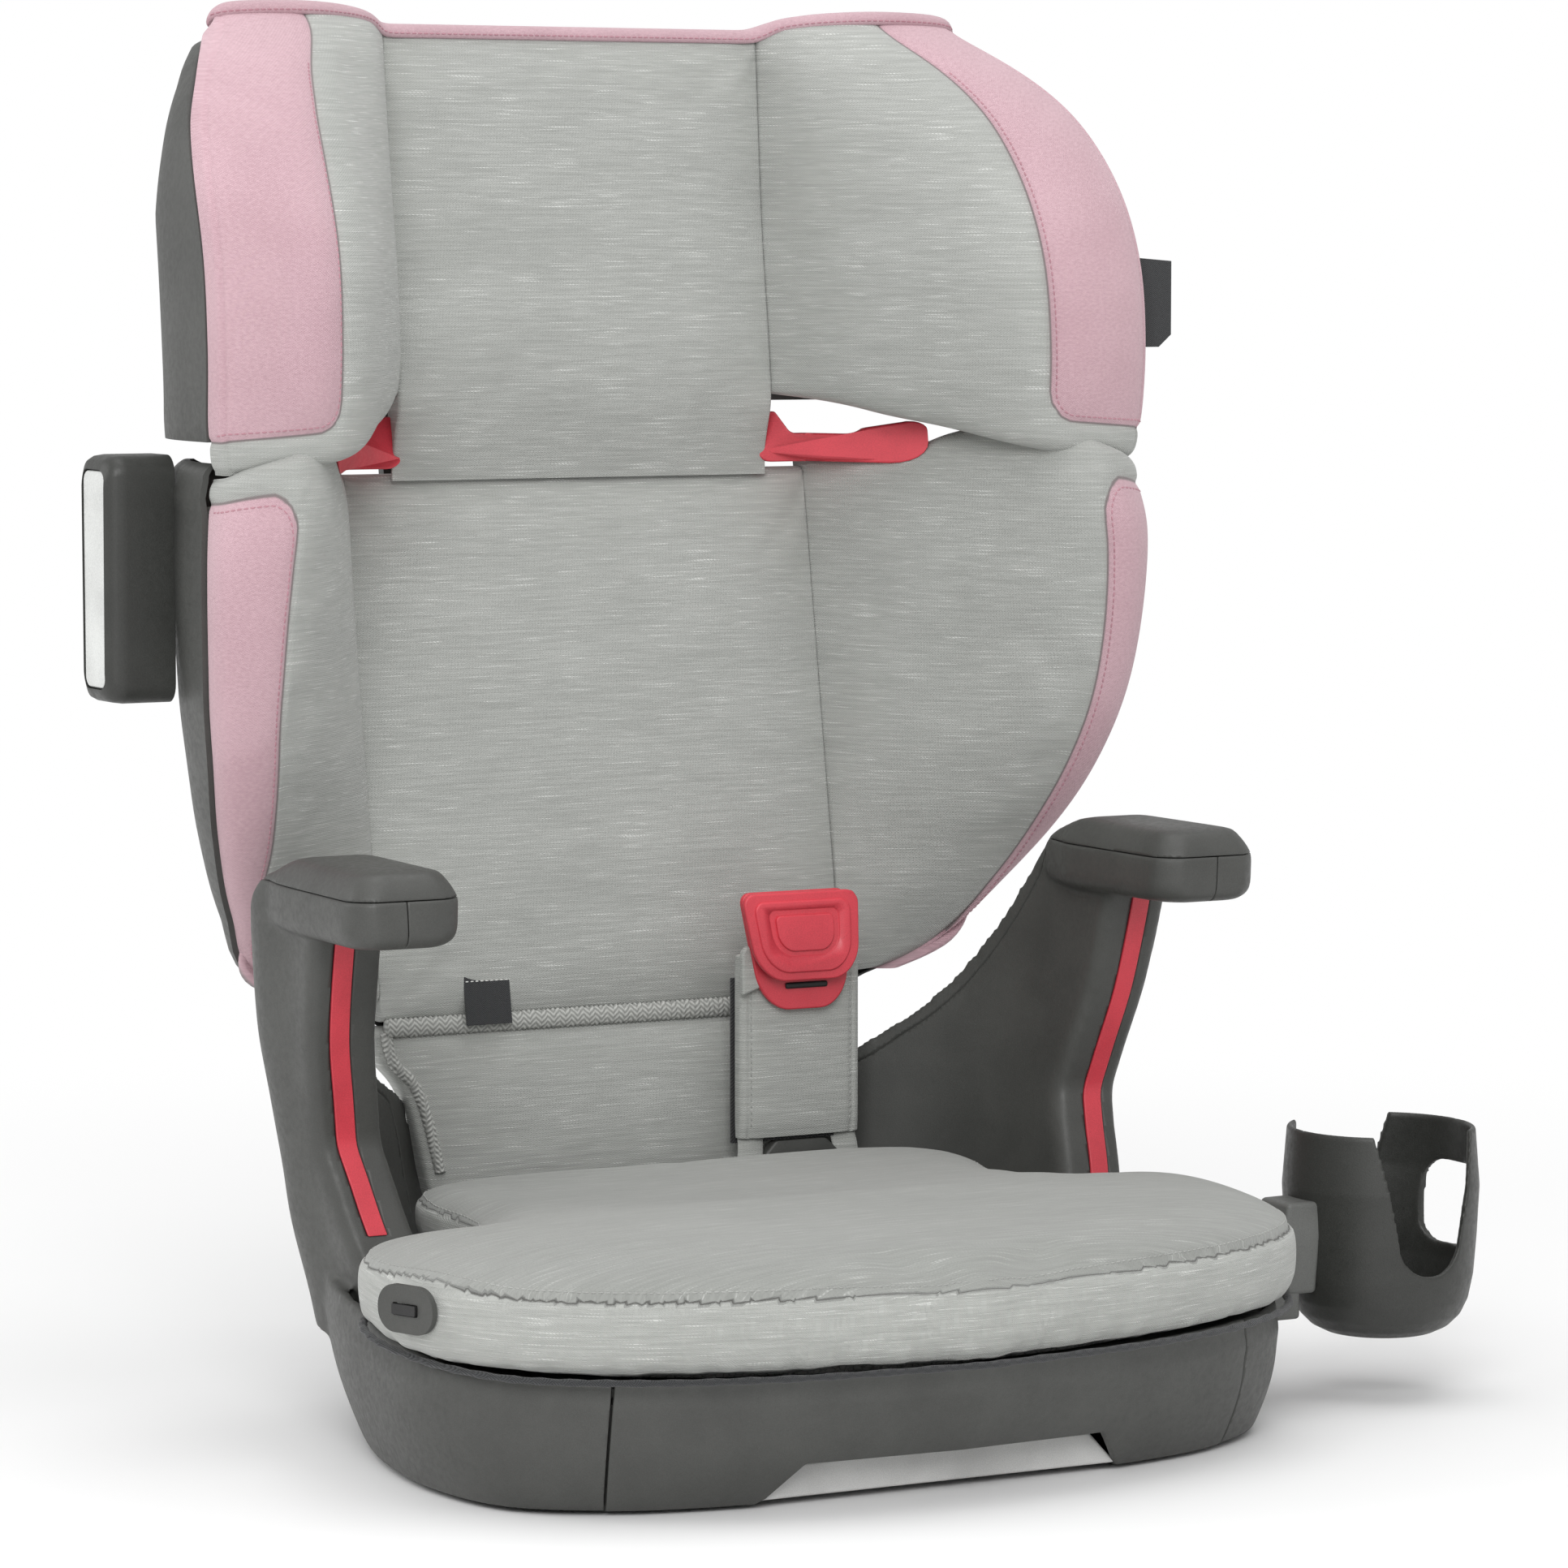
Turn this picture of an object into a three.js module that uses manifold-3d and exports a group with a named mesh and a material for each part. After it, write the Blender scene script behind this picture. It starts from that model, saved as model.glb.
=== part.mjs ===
// High-back booster seat for a child: a moulded base with armrests, a padded seat and backrest,
// and a winged headrest that slides up the backrest.
// Millimetres. +X is the sitter's left, -Y is the front, +Z is up, and the seat stands on z = 0.
import * as THREE from 'three';
import { mergeVertices } from 'three/addons/utils/BufferGeometryUtils.js';
import Module from 'manifold-3d';

const wasm = await Module();
wasm.setup();

// ---------------------------------------------------------------- driving sizes
const GAP = 0.35;                 // free space between neighbouring pieces
const WALL = 3;                   // thickness of the moulded plastic walls
const SIDES = [['left', -1], ['right', 1]];   // as seen from in front of the seat

const RECLINE = THREE.MathUtils.degToRad(9.3);   // lean of the backrest from upright
const LEAN = Math.tan(RECLINE);
const HINGE = { y: 122, z: 84 };  // recline hinge line, along X
const BACK_FACE_AT_HINGE = 101;   // front face of the back padding, level with the hinge
const SHELL_DEPTH = 40;           // from the padding's front face to the back of the shell
const BACK_LOW = 176;             // lower edge of the upholstered back
const BACK_HIGH = 444;            // upper edge of the back wings
const CENTRE_HALF = 125;          // half width of the flat middle of the back
const LOWER_BACK_HALF = 101;      // half width of the padding between the arms

const HEAD_LOW = 470;             // lower edge of the headrest at its middle
const HEAD_HIGH = 655;            // top of the headrest
const HEAD_CENTRE_HALF = 101;     // half width of the flat middle of the headrest
const HEAD_FACE_AT_LOW = 147;     // front face of the headrest padding at HEAD_LOW

const RIM = 62;                   // height of the base moulding at the front
const CAP_SEAM = 261;             // height of the seam under the armrest caps
const ARM_UNDER = 239;            // underside of the armrests

// ---------------------------------------------------------------- materials
function plain(color, roughness, metalness = 0) {
  return new THREE.MeshStandardMaterial({ color, roughness, metalness });
}

const charcoal = plain(0x4b4c4a, 0.55);
const black = plain(0x1c1c1c, 0.6);
const red = plain(0xc93a45, 0.45);
const paleGrey = plain(0xb9bab8, 0.5);
const greyFabric = plain(0xaeb1ac, 0.95);
const pinkFabric = plain(0xcfa3ab, 0.95);
const foamWhite = plain(0xe6e6e2, 0.95);
const rubber = plain(0x2a2a2a, 0.9);
const steel = plain(0x9a9da0, 0.35, 0.9);

// ---------------------------------------------------------------- shape tools
const point = (x, y, z) => new THREE.Vector3(x, y, z);

// A smooth function through [input, value] pairs, held level beyond both ends.
function smooth(...pairs) {
  const slope = (i) => {
    const before = pairs[Math.max(i - 1, 0)];
    const after = pairs[Math.min(i + 1, pairs.length - 1)];
    return (after[1] - before[1]) / (after[0] - before[0]);
  };
  return (input) => {
    const last = pairs.length - 1;
    if (input <= pairs[0][0]) return pairs[0][1];
    if (input >= pairs[last][0]) return pairs[last][1];
    const i = pairs.findIndex((pair) => pair[0] > input) - 1;
    const span = pairs[i + 1][0] - pairs[i][0];
    const t = (input - pairs[i][0]) / span;
    const rise = pairs[i + 1][1] - pairs[i][1];
    const a = slope(i) * span - rise;
    const b = rise - slope(i + 1) * span;
    return pairs[i][1] + rise * t + t * (1 - t) * (a * (1 - t) + b * t);
  };
}

// Evenly spaced numbers from first to last.
function steps(first, last, count) {
  return Array.from({ length: count + 1 }, (_, i) => first + ((last - first) * i) / count);
}

function outward(geometry) {
  const p = geometry.getAttribute('position');
  const index = geometry.getIndex().array;
  const a = new THREE.Vector3();
  const b = new THREE.Vector3();
  const c = new THREE.Vector3();
  let volume = 0;
  for (let i = 0; i < index.length; i += 3) {
    a.fromBufferAttribute(p, index[i]);
    b.fromBufferAttribute(p, index[i + 1]);
    c.fromBufferAttribute(p, index[i + 2]);
    volume += a.dot(b.cross(c));
  }
  if (volume < 0) flip(index);
  return geometry;
}

function flip(index) {
  for (let i = 0; i < index.length; i += 3) {
    [index[i], index[i + 1]] = [index[i + 1], index[i]];
  }
}

function surface(points, index) {
  const geometry = new THREE.BufferGeometry();
  const numbers = points.flatMap((p) => [p.x, p.y, p.z]);
  geometry.setAttribute('position', new THREE.Float32BufferAttribute(numbers, 3));
  geometry.setIndex(index);
  return outward(geometry);
}

// A closed solid through rings of points. Ring points i and count-1-i face each other,
// so each end closes with a row of quads between them.
function loft(rings) {
  const count = rings[0].length;
  const index = [];
  const quad = (a, b, c, d) => index.push(a, b, c, a, c, d);
  for (let r = 0; r < rings.length - 1; r++) {
    for (let i = 0; i < count; i++) {
      const next = (i + 1) % count;
      quad(r * count + i, r * count + next, (r + 1) * count + next, (r + 1) * count + i);
    }
  }
  const end = (rings.length - 1) * count;
  for (let i = 0; i < count / 2 - 1; i++) {
    const far = count - 1 - i;
    quad(far, far - 1, i + 1, i);
    quad(end + i, end + i + 1, end + far - 1, end + far);
  }
  return surface(rings.flat(), index);
}

// A closed solid between two grids of points of the same size.
function slab(front, back) {
  const rows = front.length;
  const columns = front[0].length;
  const half = rows * columns;
  const at = (row, column) => row * columns + column;
  const index = [];
  const quad = (a, b, c, d) => index.push(a, b, c, a, c, d);
  for (let r = 0; r < rows - 1; r++) {
    for (let c = 0; c < columns - 1; c++) {
      quad(at(r, c), at(r, c + 1), at(r + 1, c + 1), at(r + 1, c));
      quad(half + at(r, c), half + at(r + 1, c), half + at(r + 1, c + 1), half + at(r, c + 1));
    }
  }
  const edge = [];
  for (let c = 0; c < columns - 1; c++) edge.push(at(0, c));
  for (let r = 0; r < rows - 1; r++) edge.push(at(r, columns - 1));
  for (let c = columns - 1; c > 0; c--) edge.push(at(rows - 1, c));
  for (let r = rows - 1; r > 0; r--) edge.push(at(r, 0));
  edge.forEach((a, i) => {
    const b = edge[(i + 1) % edge.length];
    quad(b, a, half + a, half + b);
  });
  return surface([...front.flat(), ...back.flat()], index);
}

function mirrored(geometry) {
  const copy = merged(geometry).scale(-1, 1, 1);
  flip(copy.getIndex().array);
  return copy;
}

// Right-hand geometry, or its mirror image for the left-hand side.
const onSide = (geometry, sign) => (sign > 0 ? geometry : mirrored(geometry));

function merged(geometry) {
  const bare = geometry.clone();
  bare.deleteAttribute('normal');
  bare.deleteAttribute('uv');
  return mergeVertices(bare, 1e-3);
}

function toSolid(geometry) {
  const clean = merged(geometry);
  return new wasm.Manifold(new wasm.Mesh({
    numProp: 3,
    vertProperties: new Float32Array(clean.getAttribute('position').array),
    triVerts: new Uint32Array(clean.getIndex().array),
  }));
}

function fromSolid(solid) {
  const mesh = solid.getMesh();
  const geometry = new THREE.BufferGeometry();
  geometry.setAttribute('position', new THREE.BufferAttribute(mesh.vertProperties, 3));
  geometry.setIndex(new THREE.BufferAttribute(mesh.triVerts, 1));
  return geometry;
}

function join(first, ...others) {
  return fromSolid(others.reduce((whole, part) => whole.add(toSolid(part)), toSolid(first)));
}

function keep(first, second) {
  return fromSolid(toSolid(first).intersect(toSolid(second)));
}

function cut(first, ...tools) {
  return fromSolid(tools.reduce((rest, tool) => rest.subtract(toSolid(tool)), toSolid(first)));
}

// A box between two corners.
function block(x0, x1, y0, y1, z0, z1) {
  const box = new THREE.BoxGeometry(x1 - x0, y1 - y0, z1 - z0);
  return box.translate((x0 + x1) / 2, (y0 + y1) / 2, (z0 + z1) / 2);
}

// A rounded rectangle in its own plane, centred, as a THREE.Shape.
function roundedShape(width, height, radius) {
  const [w, h] = [width / 2, height / 2];
  const shape = new THREE.Shape();
  shape.moveTo(-w + radius, -h);
  shape.lineTo(w - radius, -h);
  shape.absarc(w - radius, -h + radius, radius, -Math.PI / 2, 0);
  shape.lineTo(w, h - radius);
  shape.absarc(w - radius, h - radius, radius, 0, Math.PI / 2);
  shape.lineTo(-w + radius, h);
  shape.absarc(-w + radius, h - radius, radius, Math.PI / 2, Math.PI);
  shape.lineTo(-w, -h + radius);
  shape.absarc(-w + radius, -h + radius, radius, Math.PI, Math.PI * 1.5);
  return shape;
}

// A plate of that shape, centred on the origin, thick along its own Z.
function plate(width, height, radius, thickness, corner = 4) {
  const settings = { depth: thickness, bevelEnabled: false, curveSegments: corner };
  const geometry = new THREE.ExtrudeGeometry(roundedShape(width, height, radius), settings);
  return geometry.translate(0, 0, -thickness / 2);
}

// A round bar between two points.
function bar(from, to, radius, sides = 12) {
  const length = from.distanceTo(to);
  const geometry = new THREE.CylinderGeometry(radius, radius, length, sides);
  const turn = new THREE.Quaternion().setFromUnitVectors(
    point(0, 1, 0), to.clone().sub(from).normalize());
  geometry.applyQuaternion(turn);
  return geometry.translate(...from.clone().add(to).multiplyScalar(0.5).toArray());
}

const seat = new THREE.Group();

function add(name, geometry, material) {
  const mesh = new THREE.Mesh(geometry, material);
  mesh.name = name;
  seat.add(mesh);
  return mesh;
}

// Moves upright geometry, drawn around the hinge line, to the lean of the backrest.
function leaning(geometry) {
  return geometry.rotateX(-RECLINE).translate(0, HINGE.y, HINGE.z);
}

// ---------------------------------------------------------------- base
// Half outlines of the base in plan, from the middle of the front round to the rear.
const FLOOR_LINE = [[0, -207], [95, -201], [150, -187], [190, -158], [203, -110],
  [199, -50], [184, 5], [160, 60], [132, 104]];
const RIM_LINE = [[0, -240], [90, -228], [153, -204], [194, -172], [213, -125],
  [212, -60], [203, 5], [180, 60], [144, 104]];

const halfCurve = (line) => new THREE.CatmullRomCurve3(
  line.map(([x, y]) => point(x, y, 0)), false, 'centripetal');
const floorCurve = halfCurve(FLOOR_LINE);
const rimCurve = halfCurve(RIM_LINE);
const rimHeight = smooth([-240, RIM], [-170, RIM], [-110, RIM + 3], [-40, RIM + 12], [60, RIM + 22]);

// A point on the outside of the base: t runs from the middle front (0) to the rear (1),
// and h runs from the floor (0) to the rim (1).
function basePoint(t, h, inset = 0) {
  const low = floorCurve.getPoint(t);
  const high = rimCurve.getPoint(t);
  const swell = 5 * Math.sin(Math.PI * h);
  const along = rimCurve.getTangent(t);
  const spot = low.lerp(high, h);
  const away = point(-along.y, along.x, 0).multiplyScalar(-1);
  const rise = rimHeight(high.y) * h;
  return spot.addScaledVector(away, swell - inset).setZ(rise);
}

// A closed plan ring of the base at one height fraction, drawn inside the outline.
function baseRing(h, inset, z, count = 11) {
  const right = steps(0, 1, count).map((t) => basePoint(t, h, inset).setZ(z));
  right[0].x = 6;
  const left = right.map((p) => point(-p.x, p.y, z)).reverse();
  return [...right, ...left];
}

const SKIRT_FOOT = 1.5;           // the outer mouldings stop just above the floor
const PANEL_END = 0.268;          // where the front panel meets the side mouldings
const NOTCH = { top: 77, bottom: 93, height: 21 };

function baseFrontPanel() {
  const ends = steps(-PANEL_END, PANEL_END, 12);
  const grid = (inset) => steps(0, 1, 3).map((h) => ends.map((t) => {
    const p = basePoint(Math.abs(t), h, inset);
    p.x *= Math.sign(t);
    p.z = Math.max(p.z, SKIRT_FOOT);
    return p;
  }));
  const opening = new THREE.Shape([
    new THREE.Vector2(-NOTCH.bottom, -5), new THREE.Vector2(NOTCH.bottom, -5),
    new THREE.Vector2(NOTCH.bottom, 2), new THREE.Vector2(NOTCH.top, NOTCH.height),
    new THREE.Vector2(-NOTCH.top, NOTCH.height), new THREE.Vector2(-NOTCH.bottom, 2)]);
  const tool = new THREE.ExtrudeGeometry(opening, { depth: 90, bevelEnabled: false });
  tool.rotateX(Math.PI / 2).translate(0, -170, 0);
  return cut(slab(grid(0), grid(WALL)), tool);
}

const PAN_INSET = WALL + 3;
const PAN_TOP = 50;
const DECK_TOP = PAN_TOP + 7;
const FOOT = { radius: 11, x: 120, front: -150, rear: 60, depth: 3 };

function footPlaces() {
  return SIDES.flatMap(([side, sign]) => [
    [`foot_front_${side}`, sign * FOOT.x, FOOT.front],
    [`foot_rear_${side}`, sign * (FOOT.x - 10), FOOT.rear]]);
}

const disc = (radius, height, x, y, z) => new THREE.CylinderGeometry(radius, radius, height, 16)
  .rotateX(Math.PI / 2).translate(x, y, z);

function basePan() {
  const tray = loft([
    baseRing(0, PAN_INSET, 0),
    baseRing(0.75, PAN_INSET, PAN_TOP),
    baseRing(0.75, PAN_INSET + WALL, PAN_TOP),
    baseRing(0.08, PAN_INSET + WALL, WALL + 2)]);
  const pockets = footPlaces().map(([, x, y]) => disc(
    FOOT.radius + GAP, 2 * (FOOT.depth + GAP), x, y, 0));
  const handleMouth = block(-NOTCH.bottom, NOTCH.bottom, -240, -185, -5, NOTCH.height);
  const latchMouths = SIDES.map(([, sign]) => block(
    sign * LATCH.x - LATCH.width / 2 - 1, sign * LATCH.x + LATCH.width / 2 + 1,
    80, 130, LATCH.low - 1, LATCH.high + 5));
  return cut(tray, ...pockets, handleMouth, ...latchMouths);
}

function addBase() {
  add('base_pan', basePan(), charcoal);
  add('base_front_panel', baseFrontPanel(), charcoal);
  add('seat_deck', loft([
    baseRing(0.9, PAN_INSET, PAN_TOP + 3, 12),
    baseRing(0.9, PAN_INSET, DECK_TOP, 12)]), charcoal);
  footPlaces().forEach(([name, x, y]) => {
    add(name, disc(FOOT.radius, FOOT.depth, x, y, FOOT.depth / 2), rubber);
  });
}

// ---------------------------------------------------------------- arms
// The arm is a curved wall that rises from the side of the base. In plan its outer face
// follows an ellipse, and it leans inward towards the floor.
const ARM_ELLIPSE = { x: 232, y: 178, centre: -22 };
const ARM_THICK = 45;
const armLean = smooth([0, 42], [62, 30], [101, 20], [126, 16], [159, 10], [193, 4], [261, 0]);
const armFront = smooth([62, -41], [101, -21.5], [130, -7], [139.6, -3.2], [150, -5.2], [230, -27],
  [245, -31]);
const armRear = smooth([62, 122], [140, 121], [150, 112], [159, 104], [166, 96.5], [180, 84.5],
  [201, 69], [221, 55], [240, 42], [254, 31], [262, 20], [268, 8], [273, -6]);
const armSwell = smooth([-20, 0], [35, 8], [80, 6], [122, 0]);
const armInset = smooth([-60, ARM_THICK], [0, ARM_THICK - 5], [60, 26], [120, 14]);
const armThickness = (y) => armInset(y) + armSwell(y);

// X of the arm's outer face: a slightly swollen ellipse behind its widest point, and straight
// ahead of it.
function armOuter(y, z) {
  const behind = Math.max(y - ARM_ELLIPSE.centre, 0) / ARM_ELLIPSE.y;
  return ARM_ELLIPSE.x * Math.sqrt(Math.max(1 - behind ** 2, 0)) - armLean(z) + armSwell(y);
}

const ARM_LEVELS = [PAN_TOP + 8, 88, 101, 139, 160, 195, 236, CAP_SEAM];

// The curved wall of the arm, as one piece.
function armWall() {
  return loft(ARM_LEVELS.map((z) => {
    const places = steps(0, 1, 5).map((t) => {
      const y = THREE.MathUtils.lerp(armFront(z), armRear(z), t ** 1.1);
      return [armOuter(y, z), armOuter(y, z) - armThickness(y), y];
    });
    const outer = places.map(([x, , y]) => point(x, y, z));
    const inner = places.map(([, x, y]) => point(x, y, z)).reverse();
    return [...outer, ...inner];
  }));
}

const REST = { front: -97, halfWidth: 27.5, toe: 2 };
const restWidth = smooth([-22, 1], [8, 0.74], [44, 0.62]);

// A plan ring of the armrest, drawn inside its outline by the given tuck. Its rear end follows
// the sloping rear edge of the arm.
function restRing(z, tuck = 0) {
  const rows = [0, 0.04, 0.1, 0.45, 0.8, 1].map((t) => {
    const y = THREE.MathUtils.lerp(REST.front + tuck, armRear(z) - tuck, t);
    const full = REST.halfWidth * restWidth(y);
    const middle = armOuter(y, CAP_SEAM) - full + REST.toe * smooth([REST.front, 1], [-22, 0])(y);
    const round = t < 0.1 ? Math.sqrt(1 - ((0.1 - t) / 0.1) ** 2) * 0.25 + 0.75 : 1;
    const half = (full - tuck) * round;
    return [middle + half, middle - half, y];
  });
  return [...rows.map(([x, , y]) => point(x, y, z)),
    ...rows.map(([, x, y]) => point(x, y, z)).reverse()];
}

const SPLIT = 0.52;               // where the outer and inner halves of the arm meet

// All the space on one side of the seam that runs through the arm.
function besideSeam(shift, limit) {
  const levels = [40, ...ARM_LEVELS.slice(1), CAP_SEAM + 20];
  const along = [-130, -22, 0, 20, 40, 60, 80, 100, 130];
  const seam = levels.map((z) => along.map((y) => point(
    armOuter(y, z) - SPLIT * armThickness(y) + shift, y, z)));
  const far = levels.map((z) => along.map((y) => point(limit, y, z)));
  return slab(seam, far);
}

function armWhole() {
  const rest = loft([restRing(ARM_UNDER, 5), restRing(ARM_UNDER + 5), restRing(CAP_SEAM)]);
  return join(armWall(), rest);
}

function armOuterHalf() {
  const half = keep(armWhole(), besideSeam(GAP / 2, 320));
  const around = steps(PANEL_END + 0.0015, 1, 12);
  const grid = (inset) => steps(0, 1, 3).map((h) => around.map((t) => {
    const p = basePoint(t, h, inset);
    p.z = Math.max(p.z, SKIRT_FOOT);
    return p;
  }));
  return join(slab(grid(0), grid(WALL)), half);
}

function armInnerHalf() {
  const above = block(0, 400, -200, 200, 92, 300);
  return keep(keep(armWhole(), besideSeam(-GAP / 2, 60)), above);
}

function armCap() {
  const low = CAP_SEAM + GAP;
  return loft([restRing(low), restRing(low + 7), restRing(low + 11, 4), restRing(low + 13, 11)]);
}

const STRIP = { width: 10.5, thick: 1.6 };

// The coloured strip that shows the car belt's path down the front of the arm.
function beltStrip() {
  return loft(ARM_LEVELS.slice(2, -1).map((z) => {
    const y = armFront(z) - GAP;
    const x = armOuter(y, z) - SPLIT * armThickness(y);
    const half = STRIP.width / 2;
    return [point(x - half, y, z), point(x + half, y, z),
      point(x + half, y - STRIP.thick, z), point(x - half, y - STRIP.thick, z)];
  }));
}

function addArms() {
  SIDES.forEach(([side, sign]) => {
    add(`arm_outer_${side}`, onSide(armOuterHalf(), sign), charcoal);
    add(`arm_inner_${side}`, onSide(armInnerHalf(), sign), charcoal);
    add(`arm_cap_${side}`, onSide(armCap(), sign), charcoal);
    add(`belt_guide_strip_${side}`, onSide(beltStrip(), sign), red);
  });
}

// ---------------------------------------------------------------- seat padding
const PAD_HALF_WIDTH = 227;
const PAD_LINE = [[0, -252], [95, -240], [160, -217], [205, -180], [PAD_HALF_WIDTH, -118],
  [225, -74], [204, -50], [160, -46], [149, -18], [150, 30], [138, 58], [100, 72]];
const PAD_LOW = RIM + 1;
const PAD_SEAM = 95;
const padCurve = halfCurve(PAD_LINE);

// A plan ring of the seat padding, shrunk towards its middle. The lower rings follow the rise
// of the base's rim towards the rear by the given share.
function padRing(z, scale, follow, count = 13) {
  const centre = point(0, -80, 0);
  const right = steps(0, 1, count).map((t) => {
    const p = padCurve.getPoint(t);
    const rise = follow * (rimHeight(p.y) - RIM);
    return p.sub(centre).multiplyScalar(scale).add(centre).setZ(z + rise);
  });
  right[0].x = 5;
  const left = right.map((p) => point(-p.x, p.y, p.z)).reverse();
  return [...right, ...left];
}

function seatCover() {
  return loft([
    padRing(PAD_SEAM + 4, 0.86, 0.2),
    padRing(PAD_LOW + 1, 0.89, 1),
    padRing(PAD_LOW, 0.955, 1),
    padRing(PAD_LOW + 10, 0.99, 0.9),
    padRing(PAD_SEAM - 8, 1, 0.6),
    padRing(PAD_SEAM + 2, 0.975, 0.5),
    padRing(PAD_SEAM + 14, 0.86, 0.2),
    padRing(PAD_SEAM + 21, 0.6, 0.1)]);
}

const seatFoam = () => loft([
  padRing(DECK_TOP + GAP, 0.78, 0),
  padRing(PAD_LOW + 5, 0.84, 0),
  padRing(PAD_SEAM + 2, 0.83, 0.1)]);

const BUTTON = { x: -226, y: -138, z: 89, turn: -1.2, width: 33, height: 21 };
const placedOnPad = (geometry, out) => geometry
  .rotateX(Math.PI / 2).translate(0, -out, 0).rotateZ(BUTTON.turn)
  .translate(BUTTON.x, BUTTON.y, BUTTON.z);

function adjusterBezel() {
  const face = roundedShape(BUTTON.width, BUTTON.height, 10);
  face.holes.push(roundedShape(15, 5.5, 0.8));
  const settings = { depth: 3, bevelEnabled: false, curveSegments: 5 };
  return placedOnPad(new THREE.ExtrudeGeometry(face, settings).translate(0, 0, -1.5), 3);
}

function addSeat() {
  add('seat_foam', seatFoam(), foamWhite);
  add('seat_cover', seatCover(), greyFabric);
  add('adjuster_bezel', adjusterBezel(), charcoal);
  add('adjuster_button', placedOnPad(plate(14, 4.5, 0.5, 2.4, 2), 4.6), black);
}

// ---------------------------------------------------------------- pull handle
function pullHandle() {
  const outline = new THREE.Shape([
    new THREE.Vector2(-NOTCH.bottom + 3, 3), new THREE.Vector2(NOTCH.bottom - 3, 3),
    new THREE.Vector2(NOTCH.top - 1, NOTCH.height - 3), new THREE.Vector2(-NOTCH.top + 1, NOTCH.height - 3)]);
  const geometry = new THREE.ExtrudeGeometry(outline, { depth: 9, bevelEnabled: false });
  return geometry.rotateX(Math.PI / 2).translate(0, -194, 0);
}

// ---------------------------------------------------------------- anchor connectors
const LATCH = { x: 70, width: 24, low: 22, high: 36, front: 20, rear: 118 };

function latchConnector() {
  const arm = block(LATCH.x - 12, LATCH.x + 12, LATCH.front, LATCH.rear, LATCH.low, LATCH.high);
  const mouth = block(LATCH.x - 5, LATCH.x + 5, LATCH.rear - 16, LATCH.rear + 5,
    LATCH.low - 5, LATCH.high + 5);
  const recess = block(LATCH.x - 7, LATCH.x + 7, 60, 84, LATCH.high - 3, LATCH.high + 5);
  return cut(arm, mouth, recess);
}

const latchButton = () => block(
  LATCH.x - 6, LATCH.x + 6, 61, 83, LATCH.high - 3 + 2 * GAP + 3, LATCH.high + 3.5);

function addLatches() {
  SIDES.forEach(([side, sign]) => {
    add(`latch_connector_${side}`, onSide(latchConnector(), sign), steel);
    add(`latch_button_${side}`, onSide(latchButton(), sign), red);
  });
}

// ---------------------------------------------------------------- cup holder
const CUP = { x: 296, y: -105, low: 29, high: 129, radius: 48, wall: 2.8 };
const CUP_PROFILE = [[22, 0], [34, 4.5], [41, 13], [44.5, 28], [46.5, 55], [CUP.radius, 100]];

// Points the drawing's outward direction (-Y) round to an angle about the cup's axis.
const throughCup = (shape, turn) => new THREE.ExtrudeGeometry(
  shape, { depth: CUP.radius + 20, bevelEnabled: false, curveSegments: 4 })
  .rotateX(Math.PI / 2).rotateZ(turn).translate(CUP.x, CUP.y, CUP.low);

function cupBody() {
  const outer = CUP_PROFILE.map(([r, z]) => new THREE.Vector2(r, z));
  const inner = CUP_PROFILE.map(([r, z]) => new THREE.Vector2(
    r - CUP.wall, z === 100 ? z : z + CUP.wall)).reverse();
  const profile = [new THREE.Vector2(0, 0), ...outer, ...inner, new THREE.Vector2(0, CUP.wall)];
  const bowl = new THREE.LatheGeometry(profile, 24).rotateX(Math.PI / 2);
  bowl.translate(CUP.x, CUP.y, CUP.low);
  const slot = new THREE.Shape();
  slot.moveTo(-28, 110);
  slot.lineTo(-25, 90);
  slot.lineTo(-17, 50);
  slot.absarc(0, 50, 17, Math.PI, Math.PI * 2);
  slot.lineTo(25, 90);
  slot.lineTo(28, 110);
  const window = roundedShape(44, 40, 12);
  const raised = throughCup(window, Math.PI / 2).translate(0, 0, 59);
  return cut(bowl, throughCup(slot, 0), throughCup(slot, Math.PI), raised);
}

// The cup hangs on a wedge with a tongue that plugs into the side of the base.
const TONGUE = { low: 38, high: 56, front: -118, rear: -92, inner: 218 };

function cupBracket() {
  const cupSide = CUP.x - CUP.radius - GAP;
  const wedge = loft([
    [point(236, -116, 50), point(cupSide + 1, -116, 50), point(cupSide + 1, -96, 50), point(236, -96, 50)],
    [point(232, -118, 97), point(cupSide, -118, 97), point(cupSide, -94, 97), point(232, -94, 97)]]);
  const tongue = block(TONGUE.inner, 244, TONGUE.front + 3, TONGUE.rear - 3, TONGUE.low + 3, TONGUE.high - 3);
  return join(wedge, tongue);
}

// A raised socket on the side of the base that takes the tongue.
function cupSocket() {
  const body = loft([TONGUE.low, TONGUE.high].map((z) => [
    point(215.3, TONGUE.front, z), point(226, TONGUE.front + 2, z),
    point(226, TONGUE.rear - 2, z), point(215.3, TONGUE.rear, z)]));
  const mouth = block(TONGUE.inner - GAP, 240, TONGUE.front + 3 - GAP, TONGUE.rear - 3 + GAP,
    TONGUE.low + 3 - GAP, TONGUE.high - 3 + GAP);
  return cut(body, mouth);
}

// ---------------------------------------------------------------- backrest
const backFace = (z) => BACK_FACE_AT_HINGE + (z - HINGE.z) * LEAN;
const backHalf = smooth([95, 106], [165, 110], [180, 132], [198, 184], [235, 211], [274, 229],
  [309, 239], [343, 245], [400, 248], [444, 245]);
const backReach = smooth([165, 118], [198, 121], [235, 92], [274, 61], [309, 41], [343, 30],
  [378, 24], [412, 22], [444, 26]);
const backSeamIn = smooth([198, 3], [235, 10], [274, 20], [327, 25], [378, 29], [427, 33]);

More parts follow.
